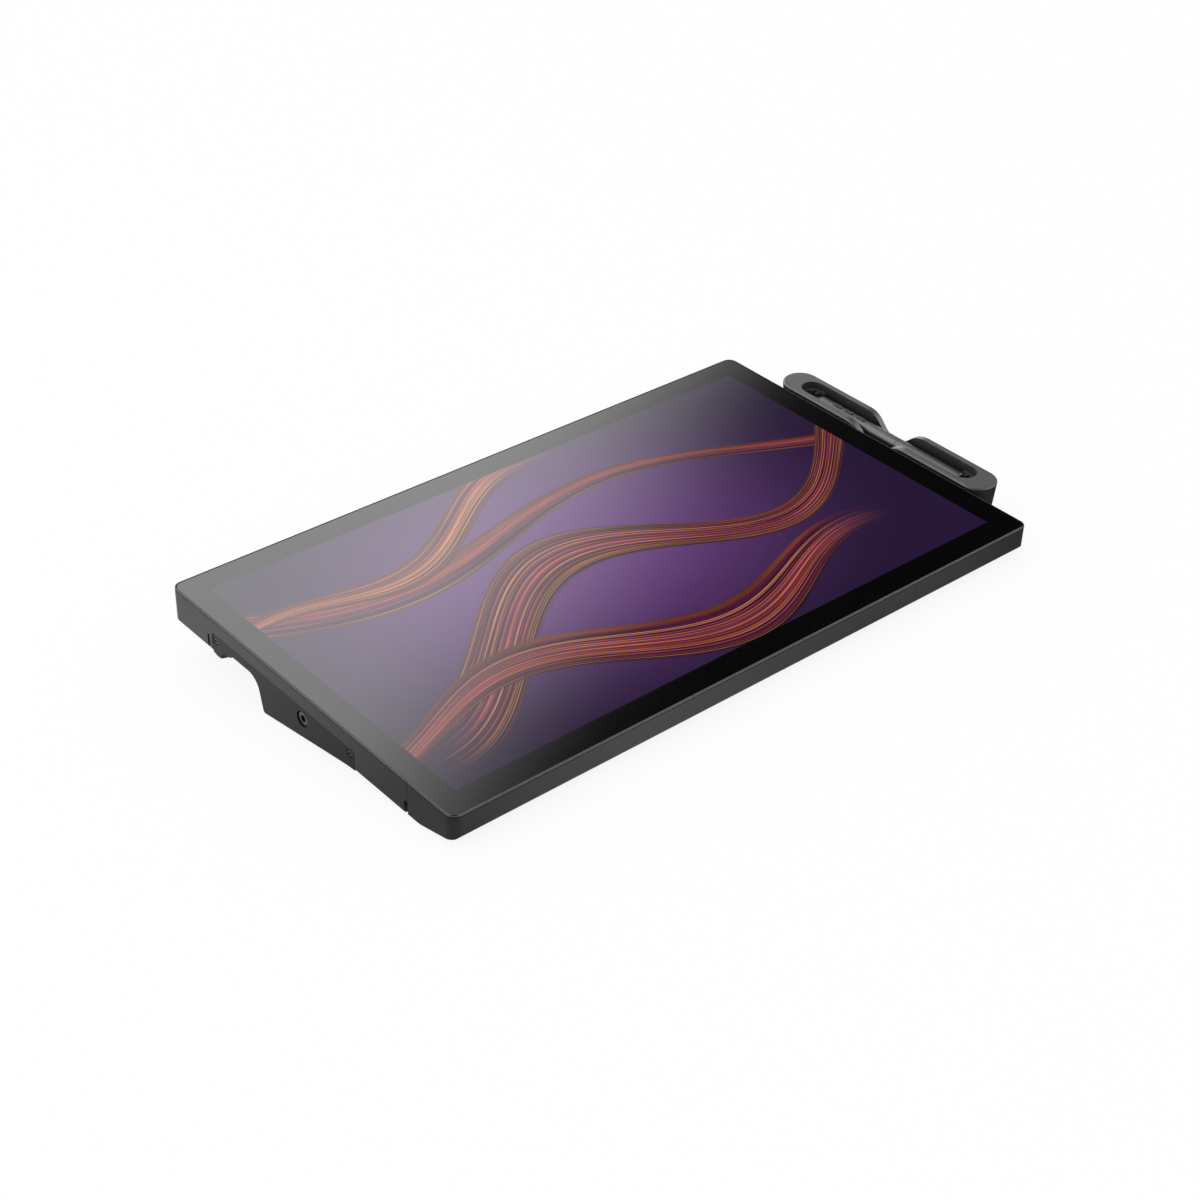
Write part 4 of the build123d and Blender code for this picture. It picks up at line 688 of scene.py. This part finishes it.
def makeSky():
    world = bpy.data.worlds.new("studioSky")
    bpy.context.scene.world = world
    world.use_nodes = True
    tree = world.node_tree
    tree.nodes.clear()
    direction = addNode(tree, "ShaderNodeTexCoord").outputs["Generated"]
    softbox = mapRange(tree, toward(tree, direction, "edgeDirection"), studio["edgeStart"],
                       studio["edgeEnd"], studio["flagLevel"], studio["softboxLevel"], "SMOOTHSTEP")
    height = addNode(tree, "ShaderNodeSeparateXYZ", {"Vector": direction}).outputs["Z"]
    horizon = mapRange(tree, height, 0.0, studio["horizonTop"], studio["horizonLevel"], 0.0, "SMOOTHSTEP")
    fill = mapRange(tree, toward(tree, direction, "fillDirection"), studio["fillOuter"],
                    studio["fillInner"], 0.0, studio["fillLevel"], "SMOOTHSTEP")
    glossy = calc(tree, "MAXIMUM", calc(tree, "MAXIMUM", softbox, horizon), fill)
    matt = mapRange(tree, toward(tree, direction, "skyDirection"), studio["skyStart"],
                    studio["skyEnd"], studio["skyLow"], studio["skyHigh"], "SMOOTHSTEP")
    ways = addNode(tree, "ShaderNodeLightPath").outputs
    mirrored = calc(tree, "ADD", ways["Is Glossy Ray"], ways["Is Transmission Ray"], clamp=True)
    level = calc(tree, "ADD", calc(tree, "MULTIPLY", mirrored, glossy),
                 calc(tree, "MULTIPLY", calc(tree, "SUBTRACT", 1.0, mirrored), matt))
    camera = ways["Is Camera Ray"]
    level = calc(tree, "ADD", calc(tree, "MULTIPLY", calc(tree, "SUBTRACT", 1.0, camera), level), camera)
    light = addNode(tree, "ShaderNodeBackground", {"Strength": level})
    output = addNode(tree, "ShaderNodeOutputWorld")
    tree.links.new(light.outputs["Background"], output.inputs["Surface"])


def makeFloor():
    bpy.ops.mesh.primitive_plane_add(size=studio["floorSize"], location=(0, 0, cadBox[0][2]))
    floor = bpy.context.active_object
    floor.name = "floor"
    finish = bpy.data.materials.new("paleFloor")
    finish.use_nodes = True
    tree = finish.node_tree
    tree.nodes.clear()
    matt = addNode(tree, "ShaderNodeBsdfDiffuse", {"Color": opaque(studio["floorColour"])})
    ways = addNode(tree, "ShaderNodeLightPath").outputs
    mirrored = calc(tree, "ADD", ways["Is Glossy Ray"], ways["Is Transmission Ray"], clamp=True)
    shown = 0.0
    for x, y, reach, level in studio["floorPatches"]:
        away = addNode(tree, "ShaderNodeVectorMath", {
            0: objectPlace(tree), 1: (x, y, 0.0)}, operation="DISTANCE").outputs["Value"]
        shown = calc(tree, "ADD", shown, mapRange(tree, away, 0.0, reach, level, 0.0, "SMOOTHSTEP"))
    strength = calc(tree, "ADD", calc(tree, "MULTIPLY", ways["Is Camera Ray"], studio["floorWhite"]),
                    calc(tree, "MULTIPLY", mirrored, shown))
    glow = addNode(tree, "ShaderNodeEmission", {"Strength": strength})
    share = calc(tree, "ADD", calc(tree, "MULTIPLY", ways["Is Camera Ray"], 1 - studio["floorShadow"]),
                 calc(tree, "MULTIPLY", mirrored, 1 - studio["floorGloss"]))
    both = addNode(tree, "ShaderNodeMixShader", {"Fac": share})
    tree.links.new(matt.outputs["BSDF"], both.inputs[1])
    tree.links.new(glow.outputs["Emission"], both.inputs[2])
    clear = addNode(tree, "ShaderNodeBsdfTransparent")
    fromBelow = addNode(tree, "ShaderNodeNewGeometry").outputs["Backfacing"]
    pick = addNode(tree, "ShaderNodeMixShader", {"Fac": fromBelow})
    tree.links.new(both.outputs[0], pick.inputs[1])
    tree.links.new(clear.outputs["BSDF"], pick.inputs[2])
    output = addNode(tree, "ShaderNodeOutputMaterial")
    tree.links.new(pick.outputs[0], output.inputs["Surface"])
    floor.data.materials.append(finish)


def makeKeyLight():
    lamp = bpy.data.lights.new("keyLight", "AREA")
    lamp.shape = "DISK"
    lamp.size = studio["keySize"]
    lamp.energy = studio["keyEnergy"]
    light = bpy.data.objects.new("keyLight", lamp)
    bpy.context.scene.collection.objects.link(light)
    light.location = studio["keyPlace"]
    light.rotation_euler = (-light.location).to_track_quat("-Z", "Y").to_euler()


makeSky()
makeFloor()
makeKeyLight()

# The camera, solved from the edges of the glass and of the picture in the photograph, in the tablet's frame
photograph = {
    "place": (-872.8, -967.8, 868.3),
    "look": (0.5466, 0.6118, -0.5717),
    "upright": (0.3541, 0.4498, 0.8199),
    "lens": 68.004,
    "sensor": 36.0,
    "farthest": 50.0,
}


def makeCamera():
    lens = bpy.data.cameras.new("camera")
    lens.lens = photograph["lens"]
    lens.sensor_width = photograph["sensor"]
    lens.clip_end = photograph["farthest"]
    camera = bpy.data.objects.new("camera", lens)
    bpy.context.scene.collection.objects.link(camera)
    turn = tabletFrame.to_3x3()
    look = (turn @ Vector(photograph["look"])).normalized()
    right = look.cross(turn @ Vector(photograph["upright"])).normalized()
    upright = right.cross(look)
    camera.matrix_world = Matrix.Translation(tabletPoint(*photograph["place"])) @ Matrix(
        (right, upright, -look)).transposed().to_4x4()
    bpy.context.scene.camera = camera


makeCamera()
bpy.context.scene.view_settings.view_transform = "Standard"
print("room, lights and camera made")
